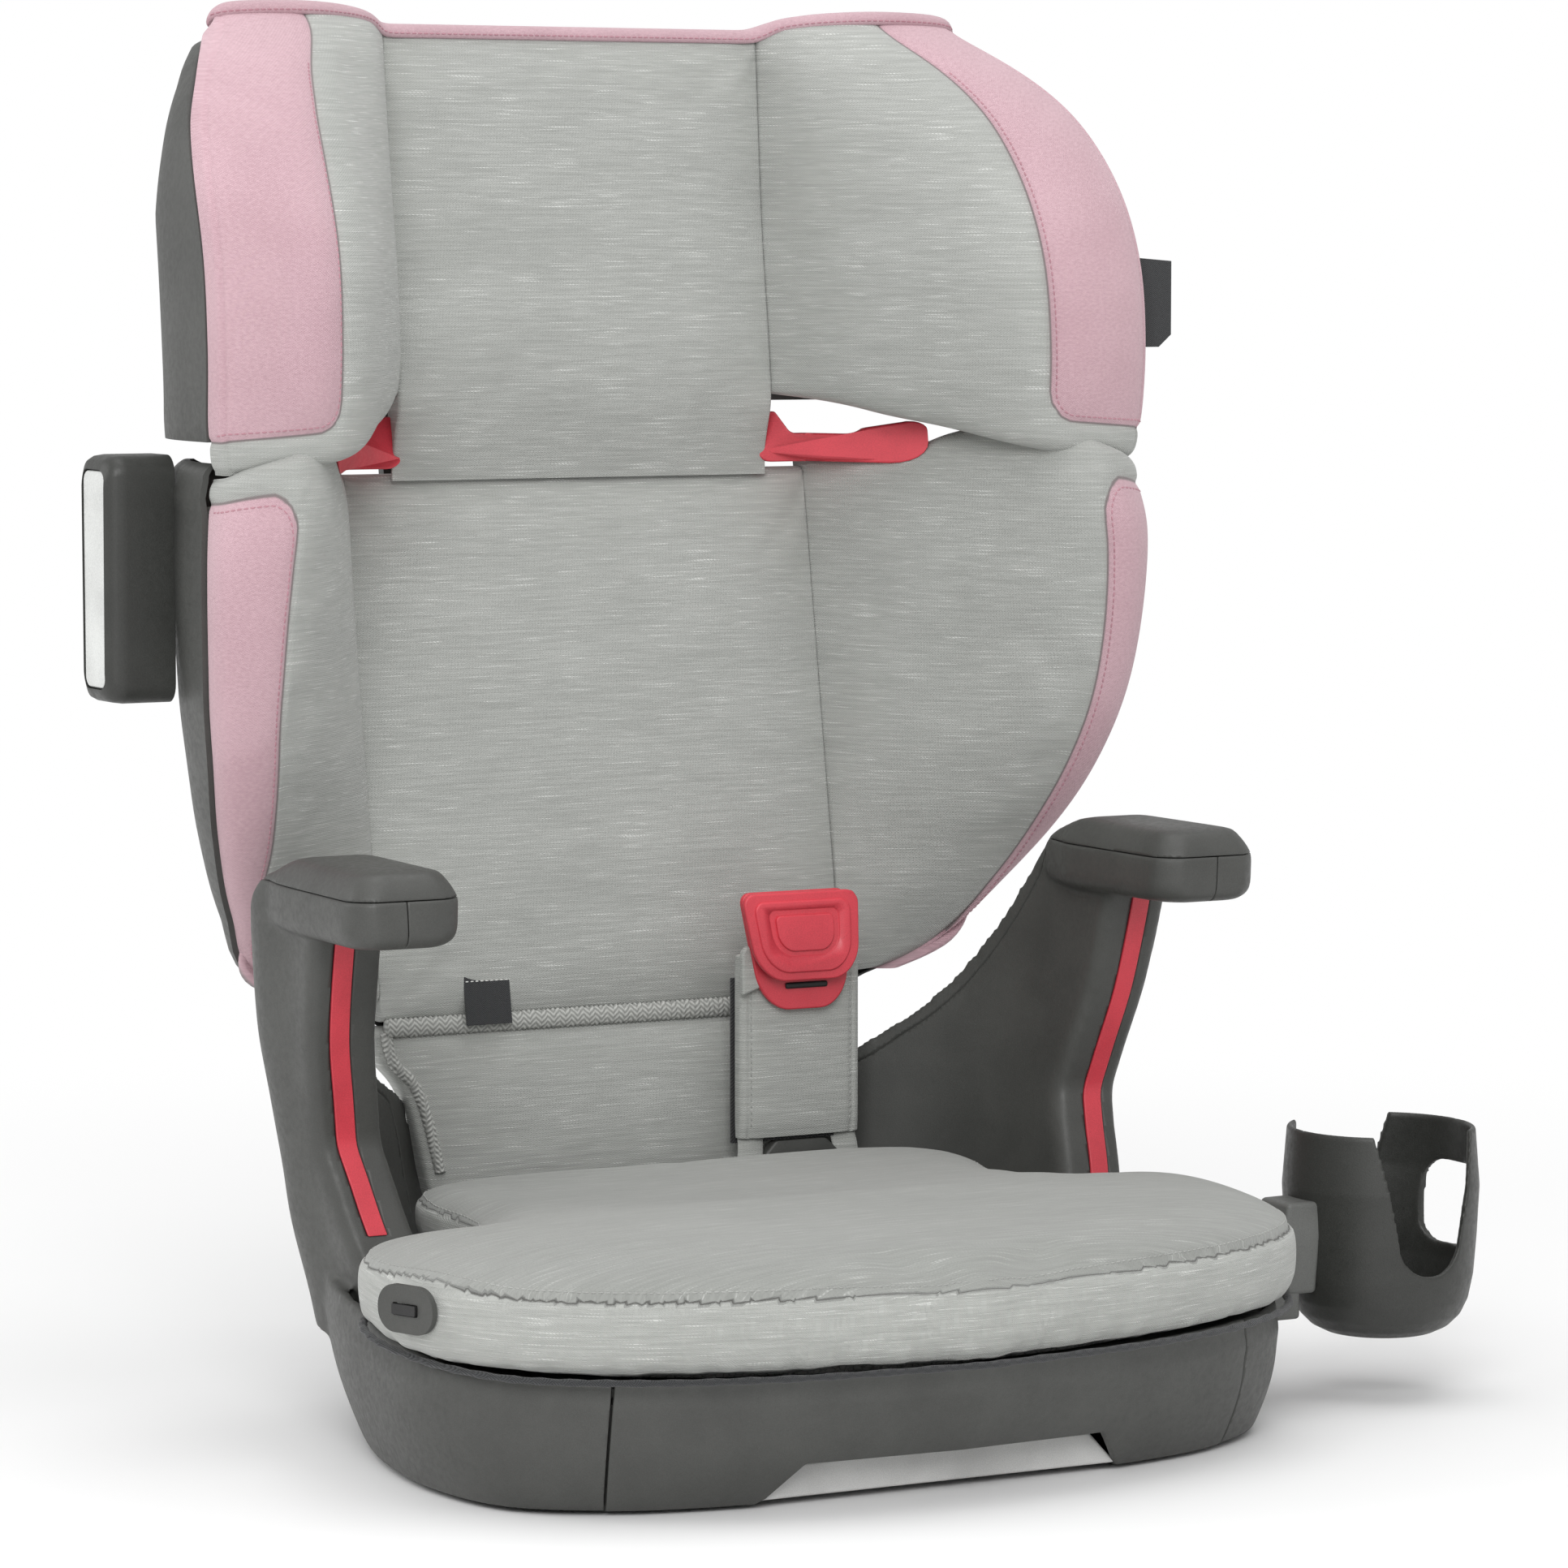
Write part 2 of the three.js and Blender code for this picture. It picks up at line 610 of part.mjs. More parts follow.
// Plan path of the wing's skin at one height: from the middle seam out to the front edge,
// round it, and back along the outside.
function wingPath(root, tip, bandIn, bandBack, wrap, count) {
  const curve = new THREE.CatmullRomCurve3([
    point(root.x, root.y, 0),
    point(THREE.MathUtils.lerp(root.x, tip.x - bandIn, 0.5) - 3,
      THREE.MathUtils.lerp(root.y, tip.y - bandBack, 0.5) - 3, 0),
    point(tip.x - bandIn, tip.y - bandBack, 0),
    point(tip.x - 4, tip.y - 4, 0),
    point(tip.x, tip.y + wrap, 0)], false, 'centripetal');
  return steps(0, 1, count).map((t) => {
    const p = curve.getPoint(t);
    const along = curve.getTangent(t);
    return { p, inward: point(-along.y, along.x, 0) };
  });
}

function padGrid(paths, heights, depth) {
  return paths.map((path, row) => path.map(({ p, inward }, column) => p.clone()
    .addScaledVector(inward, depth).setZ(heights[row][column])));
}

const PAD = 12;                   // thickness of the padding over the foam
const WING_STEPS = 7;

function backWingPad() {
  const levels = [213, 228, 250, 285, 340, 400, 434];
  const paths = levels.map(backWingPath);
  const heights = levels.map((z) => steps(0, 1, WING_STEPS).map(
    (s) => z + (z > 400 ? 9 * s : 0)));
  return slab(padGrid(paths, heights, 0), padGrid(paths, heights, PAD));
}

function backCentrePad() {
  const across = steps(-CENTRE_HALF + 1, CENTRE_HALF - 1, 4);
  const levels = [BACK_LOW, 200, 320, BACK_HIGH - 10];
  const grid = (depth) => levels.map((z) => across.map((x) => point(x, backFace(z) + depth, z)));
  return slab(grid(0), grid(PAD));
}

function lowerBackPad() {
  const across = steps(-LOWER_BACK_HALF, LOWER_BACK_HALF, 4);
  const levels = [102, 140, BACK_LOW - 2];
  const grid = (depth) => levels.map((z) => across.map((x) => point(x, backFace(z) + depth, z)));
  return slab(grid(4), grid(4 + PAD));
}

// A point on the outside of a shell: a rounded half box from the front edge on one side (s = -1)
// to the front edge on the other (s = 1).
function shellPoint(s, half, front, rear, z, boxiness) {
  const angle = (s * Math.PI) / 2;
  const round = (value) => Math.sign(value) * Math.abs(value) ** (2 / boxiness);
  return point(half * round(Math.sin(angle)), front + (rear - front) * round(Math.cos(angle)), z);
}

function shellGrid(shape, inset) {
  return shape.levels.map((z) => steps(-1, 1, 14).map((s) => shellPoint(
    s, shape.half(z) - inset, shape.front(z), shape.rear(z) - inset, z, shape.boxiness(z))));
}

const SPINE = { half: 88, low: 430, high: 560, front: 35, rear: 41 };

function spineBlock() {
  const ring = (z) => [
    point(-SPINE.half, backFace(z) + SPINE.front, z), point(SPINE.half, backFace(z) + SPINE.front, z),
    point(SPINE.half, backFace(z) + SPINE.rear, z), point(-SPINE.half, backFace(z) + SPINE.rear, z)];
  return loft([ring(SPINE.low), ring(SPINE.high)]);
}

const BACK_SHELL = {
  levels: [100, 168, 190, 215, 250, 300, 370, 436],
  half: (z) => backHalf(z) - 1,
  front: (z) => backReach(z) + 9 + backSeamIn(z) / 3,
  rear: (z) => backFace(z) + SHELL_DEPTH,
  boxiness: () => 2.4,
};

function backShell() {
  return join(slab(shellGrid(BACK_SHELL, 0), shellGrid(BACK_SHELL, WALL)), spineBlock());
}

const backWingPath = (z) => wingPath(
  { x: CENTRE_HALF + 1, y: backFace(z) },
  { x: backHalf(z), y: backReach(z) },
  backSeamIn(z), Math.min(17, backSeamIn(z) / 2), 2 + backSeamIn(z) / 3, WING_STEPS);

// The energy-absorbing foam between a wing's padding and the shell behind it.
function wingFoam(levels, shape, path) {
  const clear = 2.6;
  return loft(levels.map((z) => {
    const behind = steps(0.4, 0.88, 3).map((s) => shellPoint(
      s, shape.half(z) - WALL - clear, shape.front(z), shape.rear(z) - WALL - clear, z,
      shape.boxiness(z)));
    const skin = path(z).slice(1, 5).map(({ p, inward }) => p.clone()
      .addScaledVector(inward, PAD + clear).setZ(z));
    return [...skin, ...behind.reverse()];
  }));
}

const POST_LOW = 190;             // lower end of the headrest posts, along the backrest
const TOOTH = { pitch: 18, depth: 5, count: 11, back: 13 };

function heightRack() {
  const outline = new THREE.Shape();
  const low = POST_LOW;
  const length = TOOTH.pitch * TOOTH.count;
  outline.moveTo(0, low);
  outline.lineTo(0, low + length);
  outline.lineTo(-3, low + length);
  for (let i = TOOTH.count; i > 0; i--) {
    const top = low + TOOTH.pitch * i;
    outline.lineTo(-3 - TOOTH.depth, top - 2);
    outline.lineTo(-3 - TOOTH.depth, top - 9);
    outline.lineTo(-3, top - 10);
    outline.lineTo(-3, top - TOOTH.pitch);
  }
  const geometry = new THREE.ExtrudeGeometry(outline, { depth: 24, bevelEnabled: false });
  geometry.translate(TOOTH.back, 0, -12).rotateX(Math.PI / 2).rotateZ(Math.PI / 2);
  return leaning(geometry);
}

function addBackrest() {
  add('back_shell', backShell(), charcoal);
  add('back_center_pad', backCentrePad(), greyFabric);
  add('lower_back_pad', lowerBackPad(), greyFabric);
  add('height_rack', heightRack(), black);
  SIDES.forEach(([side, sign]) => {
    const foam = wingFoam([250, 300, 360, 425], BACK_SHELL, backWingPath);
    add(`back_foam_${side}`, onSide(foam, sign), foamWhite);
    add(`back_wing_pad_${side}`, onSide(backWingPad(), sign), greyFabric);
  });
  add('back_tag', leaning(block(-83, -59, -25, -24, 88, 112)), black);
}

// ---------------------------------------------------------------- recline hinge
const KNUCKLE = { inner: 66, outer: 82, radius: 11 };
const ROD = { radius: 5, half: 94 };

function reclineBracket() {
  const outline = new THREE.Shape([[62, 58], [97, 58], [HINGE.y + 11, 72], [HINGE.y + 11, 94],
    [HINGE.y - 9, 94], [100, 66], [62, 63]].map(([y, z]) => new THREE.Vector2(y, z)));
  const geometry = new THREE.ExtrudeGeometry(outline, { depth: 6, bevelEnabled: false });
  geometry.rotateX(Math.PI / 2).rotateZ(Math.PI / 2).translate(KNUCKLE.outer + GAP, 0, 0);
  const hole = bar(point(0, HINGE.y, HINGE.z), point(200, HINGE.y, HINGE.z), ROD.radius + GAP);
  return cut(geometry, hole);
}

const reclineRod = () => bar(
  point(-ROD.half, HINGE.y, HINGE.z), point(ROD.half, HINGE.y, HINGE.z), ROD.radius);

// Two knuckles on the rod, each with a post that carries the backrest, tied by a crossbar.
function reclineFrame() {
  const half = ([, sign]) => {
    const a = sign * KNUCKLE.inner;
    const b = sign * KNUCKLE.outer;
    const knuckle = bar(point(a, 0, 0), point(b, 0, 0), KNUCKLE.radius, 16);
    return join(knuckle, block(Math.min(a, b), Math.max(a, b), -3.5, 5, 4, 96));
  };
  const whole = join(...SIDES.map(half), block(-KNUCKLE.inner - 2, KNUCKLE.inner + 2, -3, 4, 20, 34));
  const hole = bar(point(-100, 0, 0), point(100, 0, 0), ROD.radius + GAP);
  return leaning(cut(whole, hole));
}

function addRecline() {
  SIDES.forEach(([side, sign]) => {
    add(`recline_bracket_${side}`, onSide(reclineBracket(), sign), steel);
  });
  add('recline_rod', reclineRod(), steel);
  add('recline_frame', reclineFrame(), steel);
}

// ---------------------------------------------------------------- belt clip strap
const STRAP = { x: 82, y: 84, low: 88.5 };
const SWING_ROOM = 2.4;           // free space under the stalk, for its swing

function addBeltStrap() {
  const { x, y, low } = STRAP;
  const stalk = loft([
    [low, 22, 4], [low + 16, 22, 4], [low + 24, 14, 3]].map(([z, half, thick]) => [
    point(x - half, y - thick, z), point(x + half, y - thick, z),
    point(x + half, y + thick, z), point(x - half, y + thick, z)]));
  add('strap_stalk', stalk, charcoal);
  add('strap_anchor', block(x - 15, x - 1, y - 3, y + 3, DECK_TOP + GAP, low - SWING_ROOM), steel);
  add('strap_webbing', block(x - 19, x + 19, y - 1.2, y + 1.2, low + 24 + GAP, low + 96), black);
  const sleeve = block(x - 34, x + 32, y - 7, y + 7, low + 26, low + 116);
  const tunnel = block(x - 20, x + 20, y - 2, y + 2, low, low + 200);
  add('strap_sleeve', cut(sleeve, tunnel), greyFabric);
  const fold = (half, height, lift, out) => plate(half * 2, height, 12, 3.2, 3)
    .rotateX(Math.PI / 2).translate(x - 5, y - out, lift);
  const back = fold(32, 58, low + 118, 9.2);
  const front = fold(31, 42, low + 126, 17);
  const bend = block(x - 24, x + 14, y - 17, y - 9, low + 142, low + 146);
  add('belt_clip', join(back, front, bend), red);
}

// ---------------------------------------------------------------- side pod
const POD = { outer: 275, inner: 246, front: 84, rear: 122, low: 337, high: 451 };

function podHousing() {
  const depth = POD.rear - POD.front;
  const height = POD.high - POD.low;
  const thick = POD.outer - POD.inner;
  const box = plate(depth, height, 7, thick, 3);
  box.rotateX(Math.PI / 2).rotateZ(-Math.PI / 2);
  box.translate(-(POD.outer + POD.inner) / 2, (POD.front + POD.rear) / 2, (POD.low + POD.high) / 2);
  const pocket = plate(depth - 12 + 2 * GAP, height - 14 + 2 * GAP, 5, 4, 3);
  pocket.rotateX(Math.PI / 2).rotateZ(-Math.PI / 2);
  pocket.translate(-POD.outer, (POD.front + POD.rear) / 2, (POD.low + POD.high) / 2);
  return cut(box, pocket);
}

function podPlate() {
  const panel = plate(POD.rear - POD.front - 12, POD.high - POD.low - 14, 5, 1.8, 3);
  panel.rotateX(Math.PI / 2).rotateZ(-Math.PI / 2);
  return panel.translate(-POD.outer + 0.8, (POD.front + POD.rear) / 2, (POD.low + POD.high) / 2);
}

// ---------------------------------------------------------------- headrest
const headFace = smooth([440, 143], [HEAD_LOW, HEAD_FACE_AT_LOW], [560, 157], [HEAD_HIGH, 164]);
const headHalf = smooth([440, 245], [470, 248], [560, 248], [600, 242], [625, 230], [650, 196]);
const headReach = smooth([440, 22], [465, 19], [500, 17], [540, 22], [575, 38], [610, 66],
  [635, 98], [655, 132]);
const headBand = smooth([440, 58], [560, 60], [610, 56], [650, 46]);

const headWingPath = (z) => wingPath(
  { x: HEAD_CENTRE_HALF + 1, y: headFace(z) - 1 }, { x: headHalf(z), y: headReach(z) + 6 },
  headBand(z), 9, 12, WING_STEPS);

function headWingPad() {
  const rows = steps(0, 1, 7);
  const columns = steps(0, 1, WING_STEPS);
  const low = (s) => THREE.MathUtils.lerp(HEAD_LOW + 2, 448, Math.min(s * 1.25, 1));
  const high = (s) => THREE.MathUtils.lerp(HEAD_HIGH + 1, 640, s * s);
  const grid = (depth) => rows.map((v) => columns.map((s, i) => {
    const z = THREE.MathUtils.lerp(low(s), high(s), v);
    const { p, inward } = headWingPath(z)[i];
    return p.clone().addScaledVector(inward, depth).setZ(z);
  }));
  return slab(grid(0), grid(PAD));
}

function headCentrePad() {
  const across = steps(-HEAD_CENTRE_HALF + 1, HEAD_CENTRE_HALF - 1, 4);
  const levels = [HEAD_LOW - 22, HEAD_LOW, 560, HEAD_HIGH];
  const depth = (z) => (z < HEAD_LOW ? 6 : PAD);
  const front = levels.map((z) => across.map((x) => point(x, headFace(z), z)));
  const back = levels.map((z) => across.map((x) => point(x, headFace(z) + depth(z), z)));
  return slab(front, back);
}

const HEAD_SHELL_DEPTH = 27;

const HEAD_SHELL = {
  levels: [464, 480, 530, 575, 600, 622, 640],
  half: (z) => headHalf(z) - 3,
  front: (z) => headReach(z) + 21,
  rear: (z) => headFace(z) + HEAD_SHELL_DEPTH,
  boxiness: smooth([560, 3.4], [620, 2.4]),
};

const headShell = () => slab(shellGrid(HEAD_SHELL, 0), shellGrid(HEAD_SHELL, WALL));

// The hook that holds the car's shoulder belt under each headrest wing.
function shoulderGuide() {
  const outline = new THREE.Shape();
  const [inner, outer, low, sill, inside, outside] = [95, 188, 437, 451, 461, 457];
  outline.moveTo(inner, low + 8);
  outline.quadraticCurveTo(inner, low, inner + 8, low);
  outline.lineTo(outer - 8, low);
  outline.quadraticCurveTo(outer, low, outer, low + 8);
  outline.lineTo(outer, outside);
  outline.lineTo(outer - 9, outside);
  outline.lineTo(outer - 16, sill);
  outline.lineTo(inner + 18, sill);
  outline.lineTo(inner + 12, inside);
  outline.lineTo(inner, inside);
  const settings = { depth: 7, bevelEnabled: false, curveSegments: 4 };
  const hook = new THREE.ExtrudeGeometry(outline, settings).rotateX(Math.PI / 2);
  return leaning(hook.translate(0, -15.5, -HINGE.z)).translate(0, 0, 5);
}

// Two posts on a crossbar: they slide in the backrest and carry the headrest.
function headCarriage() {
  const posts = SIDES.map(([, sign]) => bar(
    point(sign * 52, 1, POST_LOW), point(sign * 52, 1, 440), 6, 10));
  const upperBar = block(-60, 60, -11.5, 5, 416, 440);
  const lowerBar = block(-56, 56, -4, 4, POST_LOW, POST_LOW + 10);
  return leaning(join(upperBar, lowerBar, ...posts));
}

function releaseHandle() {
  const grip = plate(90, 26, 10, 9, 4).rotateX(Math.PI / 2);
  const hole = plate(58, 9, 4, 20, 3).rotateX(Math.PI / 2);
  return leaning(cut(grip, hole).translate(0, -11, 506));
}

const lockBolt = () => leaning(block(-10, 10, -1, 4.5, POST_LOW + 13, POST_LOW + 18));

function addHeadrest() {
  add('headrest_shell', headShell(), charcoal);
  add('headrest_center_pad', headCentrePad(), greyFabric);
  SIDES.forEach(([side, sign]) => {
    const foam = wingFoam([486, 540, 590], HEAD_SHELL, headWingPath);
    add(`headrest_foam_${side}`, onSide(foam, sign), foamWhite);
    add(`headrest_wing_pad_${side}`, onSide(headWingPad(), sign), pinkFabric);
    add(`shoulder_guide_${side}`, onSide(shoulderGuide(), sign), red);
  });
  add('headrest_carriage', headCarriage(), steel);
  add('headrest_side_tag', block(249, 268, 44, 45, 497, 541), black);
  add('headrest_release_handle', releaseHandle(), charcoal);
  add('headrest_lock_bolt', lockBolt(), steel);
}

addBase();
addArms();
addSeat();
add('front_pull_handle', pullHandle(), paleGrey);
addLatches();
add('cup_holder_cup', cupBody(), charcoal);
add('cup_holder_bracket', cupBracket(), charcoal);
add('cup_socket', cupSocket(), charcoal);
addBackrest();
addRecline();
addBeltStrap();
add('pod_housing', podHousing(), charcoal);
add('pod_plate', podPlate(), paleGrey);
addHeadrest();

export default seat;
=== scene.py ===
"""The looks of a high-back booster seat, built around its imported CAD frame.

Sizes in this script are millimetres, and every mesh is scaled to metres as it is made.
-Y is the front and +Z is up. Names that end in _left are on -X, which is the left as seen from
the front. Shapes that come in pairs are drawn on the +X side and mirrored.
"""
import math

import bmesh
import bpy
import numpy as np
from mathutils import Matrix, Vector
from mathutils.bvhtree import BVHTree


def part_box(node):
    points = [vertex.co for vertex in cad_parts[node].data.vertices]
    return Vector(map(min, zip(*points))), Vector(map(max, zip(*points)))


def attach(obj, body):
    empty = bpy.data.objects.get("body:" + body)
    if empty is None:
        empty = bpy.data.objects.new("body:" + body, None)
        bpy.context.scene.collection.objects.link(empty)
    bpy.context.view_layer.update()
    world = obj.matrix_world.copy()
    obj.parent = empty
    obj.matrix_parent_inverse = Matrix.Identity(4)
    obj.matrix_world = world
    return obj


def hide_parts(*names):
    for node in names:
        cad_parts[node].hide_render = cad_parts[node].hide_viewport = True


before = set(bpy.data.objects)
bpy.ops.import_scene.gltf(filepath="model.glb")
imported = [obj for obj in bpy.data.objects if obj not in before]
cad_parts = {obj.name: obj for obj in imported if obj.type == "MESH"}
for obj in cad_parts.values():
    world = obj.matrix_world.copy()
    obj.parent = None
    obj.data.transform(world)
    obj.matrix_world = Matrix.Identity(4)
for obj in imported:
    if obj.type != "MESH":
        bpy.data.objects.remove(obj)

MM = 0.001
SIDES = (("left", -1), ("right", 1))
UP = np.array([0, 0, 1.0])
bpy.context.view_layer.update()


def reach(node):
    """Lowest and highest corner of a CAD node, in millimetres."""
    low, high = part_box(node)
    return np.array(low) / MM, np.array(high) / MM


# ---------------------------------------------------------------- numbers and curves
def smooth(*pairs):
    """A smooth function through (input, value) pairs, held level beyond both ends."""
    xs, ys = np.array(pairs, float).T
    last = len(xs) - 1
    before = np.maximum(np.arange(last + 1) - 1, 0)
    after = np.minimum(np.arange(last + 1) + 1, last)
    slope = (ys[after] - ys[before]) / (xs[after] - xs[before])

    def value(at):
        at = np.clip(at, xs[0], xs[-1])
        i = np.clip(np.searchsorted(xs, at, side="right") - 1, 0, last - 1)
        span = xs[i + 1] - xs[i]
        t = (at - xs[i]) / span
        rise = ys[i + 1] - ys[i]
        a = slope[i] * span - rise
        b = rise - slope[i + 1] * span
        return ys[i] + rise * t + t * (1 - t) * (a * (1 - t) + b * t)

    return value


def mix(a, b, t):
    return a + (b - a) * t


def unit(vectors):
    return vectors / np.linalg.norm(vectors, axis=-1, keepdims=True)


def full_turn(count):
    """Evenly spaced angles once round a circle."""
    return np.linspace(0, 2 * math.pi, count, endpoint=False)


def catmull(controls, t):
    """Points and unit tangents at t (0 to 1) on a centripetal curve through the controls."""
    t = np.asarray(t, float)
    p = np.stack([np.broadcast_to(c, t.shape + (2,)) for c in controls])
    p = np.concatenate([2 * p[:1] - p[1:2], p, 2 * p[-1:] - p[-2:-1]])
    segments = len(controls) - 1
    at = np.clip(t, 0, 1) * segments
    i = np.minimum(at.astype(int), segments - 1)
    w = (at - i)[..., None]
    a, b, c, d = (np.take_along_axis(p, (i + k)[None, ..., None], 0)[0] for k in range(4))

    def knot(u, v):
        return np.maximum(np.sum((u - v) ** 2, -1, keepdims=True) ** 0.25, 1e-6)

    ab, bc, cd = knot(a, b), knot(b, c), knot(c, d)
    start = ((b - a) / ab - (c - a) / (ab + bc) + (c - b) / bc) * bc
    end = ((c - b) / bc - (d - b) / (bc + cd) + (d - c) / cd) * bc
    square = 3 * (c - b) - 2 * start - end
    cube = 2 * (b - c) + start + end
    place = b + start * w + square * w**2 + cube * w**3
    slope = start + 2 * square * w + 3 * cube * w**2
    return place, unit(slope)


EDGE_STEPS = np.array([0.5, 1.3, 2.6])


def ladder(total, spacing, *seams):
    """Places from 0 to total, about spacing apart and closer at each end and round each seam."""
    places = np.linspace(0, total, max(int(round(total / spacing)), 2) + 1)
    places = np.r_[places, EDGE_STEPS, total - EDGE_STEPS]
    for seam in seams:
        places = places[np.abs(places - seam) > 3.2]
        places = np.r_[places, seam + np.array([-2.4, -1.2, 0, 1.2, 2.4])]
    return np.sort(places)


def run_length(points, axis):
    """Distance walked along one axis of a grid of points, starting at 0."""
    step = np.linalg.norm(np.diff(points, axis=axis), axis=-1)
    first = np.zeros_like(np.take(step, [0], axis=axis))
    return np.cumsum(np.concatenate([first, step], axis=axis), axis=axis)


def points_at(distances, walked, path):
    """Points of a path at distances along it."""
    return np.stack([np.interp(distances, walked, path[:, k]) for k in range(3)], -1)


# ---------------------------------------------------------------- meshes
def grid_quads(rows, columns, start=0, around=False):
    """Faces between neighbouring points of a grid; around joins the last column to the first."""
    r, c = np.meshgrid(np.arange(rows - 1), np.arange(columns - (0 if around else 1)), indexing="ij")
    following = (c + 1) % columns
    quads = np.stack([r * columns + c, r * columns + following,
                      (r + 1) * columns + following, (r + 1) * columns + c], -1)
    return (quads.reshape(-1, 4) + start).tolist()


def border(rows, columns):
    """Indices of a grid's outer points, in order round the grid."""
    index = np.arange(rows * columns).reshape(rows, columns)
    return np.r_[index[0, :-1], index[:-1, -1], index[-1, :0:-1], index[:0:-1, 0]]


def make(name, points, faces, material, body=None, replaces=(), slot=None, flat=False):
    """A new object from points in millimetres."""
    mesh = bpy.data.meshes.new(name)
    mesh.from_pydata((np.asarray(points, float).reshape(-1, 3) * MM).tolist(), [], faces)
    mesh.update()
    mesh.polygons.foreach_set("use_smooth", [not flat] * len(mesh.polygons))
    piece = bpy.data.objects.new(name, mesh)
    bpy.context.scene.collection.objects.link(piece)
    dress(piece, material)
    face_out(piece)
    if body:
        settle(piece, body, replaces, slot)
    return piece


def face_out(piece):
    """Turns a closed mesh's faces outwards."""
    work = bmesh.new()
    work.from_mesh(piece.data)
    bmesh.ops.recalc_face_normals(work, faces=work.faces)
    work.to_mesh(piece.data)
    work.free()


def coordinates(mesh, kind="co"):
    """A mesh's vertex positions in metres, or its normals, one row each."""
    values = np.zeros(len(mesh.vertices) * 3)
    mesh.vertices.foreach_get(kind, values)
    return values.reshape(-1, 3)


def place_points(mesh, points):
    mesh.vertices.foreach_set("co", points.ravel())
    mesh.update()


def dress(piece, material):
    piece.data.materials.clear()
    piece.data.materials.append(material)


def settle(piece, body, replaces=(), slot=None):
    """The piece rides on a body and stands for CAD nodes, which are hidden. The slot argument is not
    used.
    """
    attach(piece, body)
    if replaces:
        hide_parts(*replaces)


RIM_SHARES = (0.08, 0.5, 0.92)    # where a padded rim has its own rows of points


def thick_sheet(front, back, shares=()):
    """Points and faces of a closed sheet between two grids of the same size.

    shares adds rows of points round the rim, between the front (0) and the back (1).
    """
    rows, columns = front.shape[:2]
    count = rows * columns
    front, back = front.reshape(-1, 3), back.reshape(-1, 3)
    faces = grid_quads(rows, columns)
    faces += [face[::-1] for face in grid_quads(rows, columns, count)]
    edge = border(rows, columns)
    points = [front, back] + [mix(front[edge], back[edge], share) for share in shares]
    rings = [2 * count + k * len(edge) + np.arange(len(edge)) for k in range(len(shares))]
    for upper, lower in zip([edge] + rings, rings + [edge + count]):
        faces += np.stack([np.roll(upper, -1), upper, lower, np.roll(lower, -1)], -1).tolist()
    return np.concatenate(points), faces


def sheet_values(values, shares=()):
    """Values of a grid, repeated for every point that thick_sheet makes."""
    rows, columns = values.shape[:2]
    flat = values.reshape(rows * columns, -1)
    return np.concatenate([flat, flat] + [flat[border(rows, columns)]] * len(shares))


def tube(rings):
    """Points and faces of a closed solid through rings (rings, points, 3), with flat ends."""
    count, size = rings.shape[:2]
    faces = grid_quads(count, size, around=True)
    faces += [list(range(size))[::-1], list(range((count - 1) * size, count * size))]
    return rings.reshape(-1, 3), faces


def prism(outline, place, depths):
    """Points and faces of a solid with an (a, b) outline, put at each depth by place(a, b, depth)."""
    return tube(np.array([[place(a, b, depth) for a, b in outline] for depth in depths]))


def joined(*solids):
    """Several (points, faces) as one."""
    points, faces, start = [], [], 0
    for some, its in solids:
        some = np.asarray(some, float).reshape(-1, 3)
        points.append(some)
        faces += [[i + start for i in face] for face in its]
        start += len(some)
    return np.concatenate(points), faces


def box_solid(low, high):
    corners = np.array([[(low, high)[k][a] for a, k in enumerate((i & 1, i >> 1 & 1, i >> 2 & 1))]
                        for i in range(8)], float)
    faces = [[0, 2, 3, 1], [4, 5, 7, 6], [0, 1, 5, 4], [2, 6, 7, 3], [0, 4, 6, 2], [1, 3, 7, 5]]
    return corners, faces


def modifier(piece, kind, **settings):
    new = piece.modifiers.new(kind.lower(), kind)
    for key, value in settings.items():
        setattr(new, key, value)
    return new


def applied(piece):
    """Replaces the piece's mesh with its mesh after all modifiers."""
    graph = bpy.context.evaluated_depsgraph_get()
    mesh = bpy.data.meshes.new_from_object(piece.evaluated_get(graph), depsgraph=graph)
    piece.modifiers.clear()
    piece.data = mesh
    mesh.polygons.foreach_set("use_smooth", [True] * len(mesh.polygons))
    return piece


def bevelled(piece, width, segments=3, angle=35):
    """Rounds the piece's sharp edges. Width is in millimetres."""
    modifier(piece, "BEVEL", width=width * MM, segments=segments, limit_method="ANGLE",
             angle_limit=math.radians(angle), harden_normals=False, miter_outer="MITER_ARC")
    modifier(piece, "WEIGHTED_NORMAL", keep_sharp=False, weight=80)
    return piece


def remeshed(piece, voxel, smoothing=0, strength=0.5):
    """Merges the piece's overlapping solids into one even skin, then softens it."""
    modifier(piece, "REMESH", mode="VOXEL", voxel_size=voxel * MM, use_smooth_shade=True)
    if smoothing:
        modifier(piece, "SMOOTH", factor=strength, iterations=smoothing)
    return applied(piece)


def carved(piece, tool, operation="DIFFERENCE"):
    """Cuts the piece with another closed object, which is then removed."""
    modifier(piece, "BOOLEAN", operation=operation, object=tool, solver="MANIFOLD")
    applied(piece)
    bpy.data.objects.remove(tool)
    return piece


def make_copy(piece, name):
    copy = bpy.data.objects.new(name, piece.data.copy())
    bpy.context.scene.collection.objects.link(copy)
    return copy


def turn_over(piece):
    """Mirrors a piece's mesh to the other side of the seat."""
    piece.data.transform(Matrix.Diagonal((-1, 1, 1, 1)))
    piece.data.flip_normals()


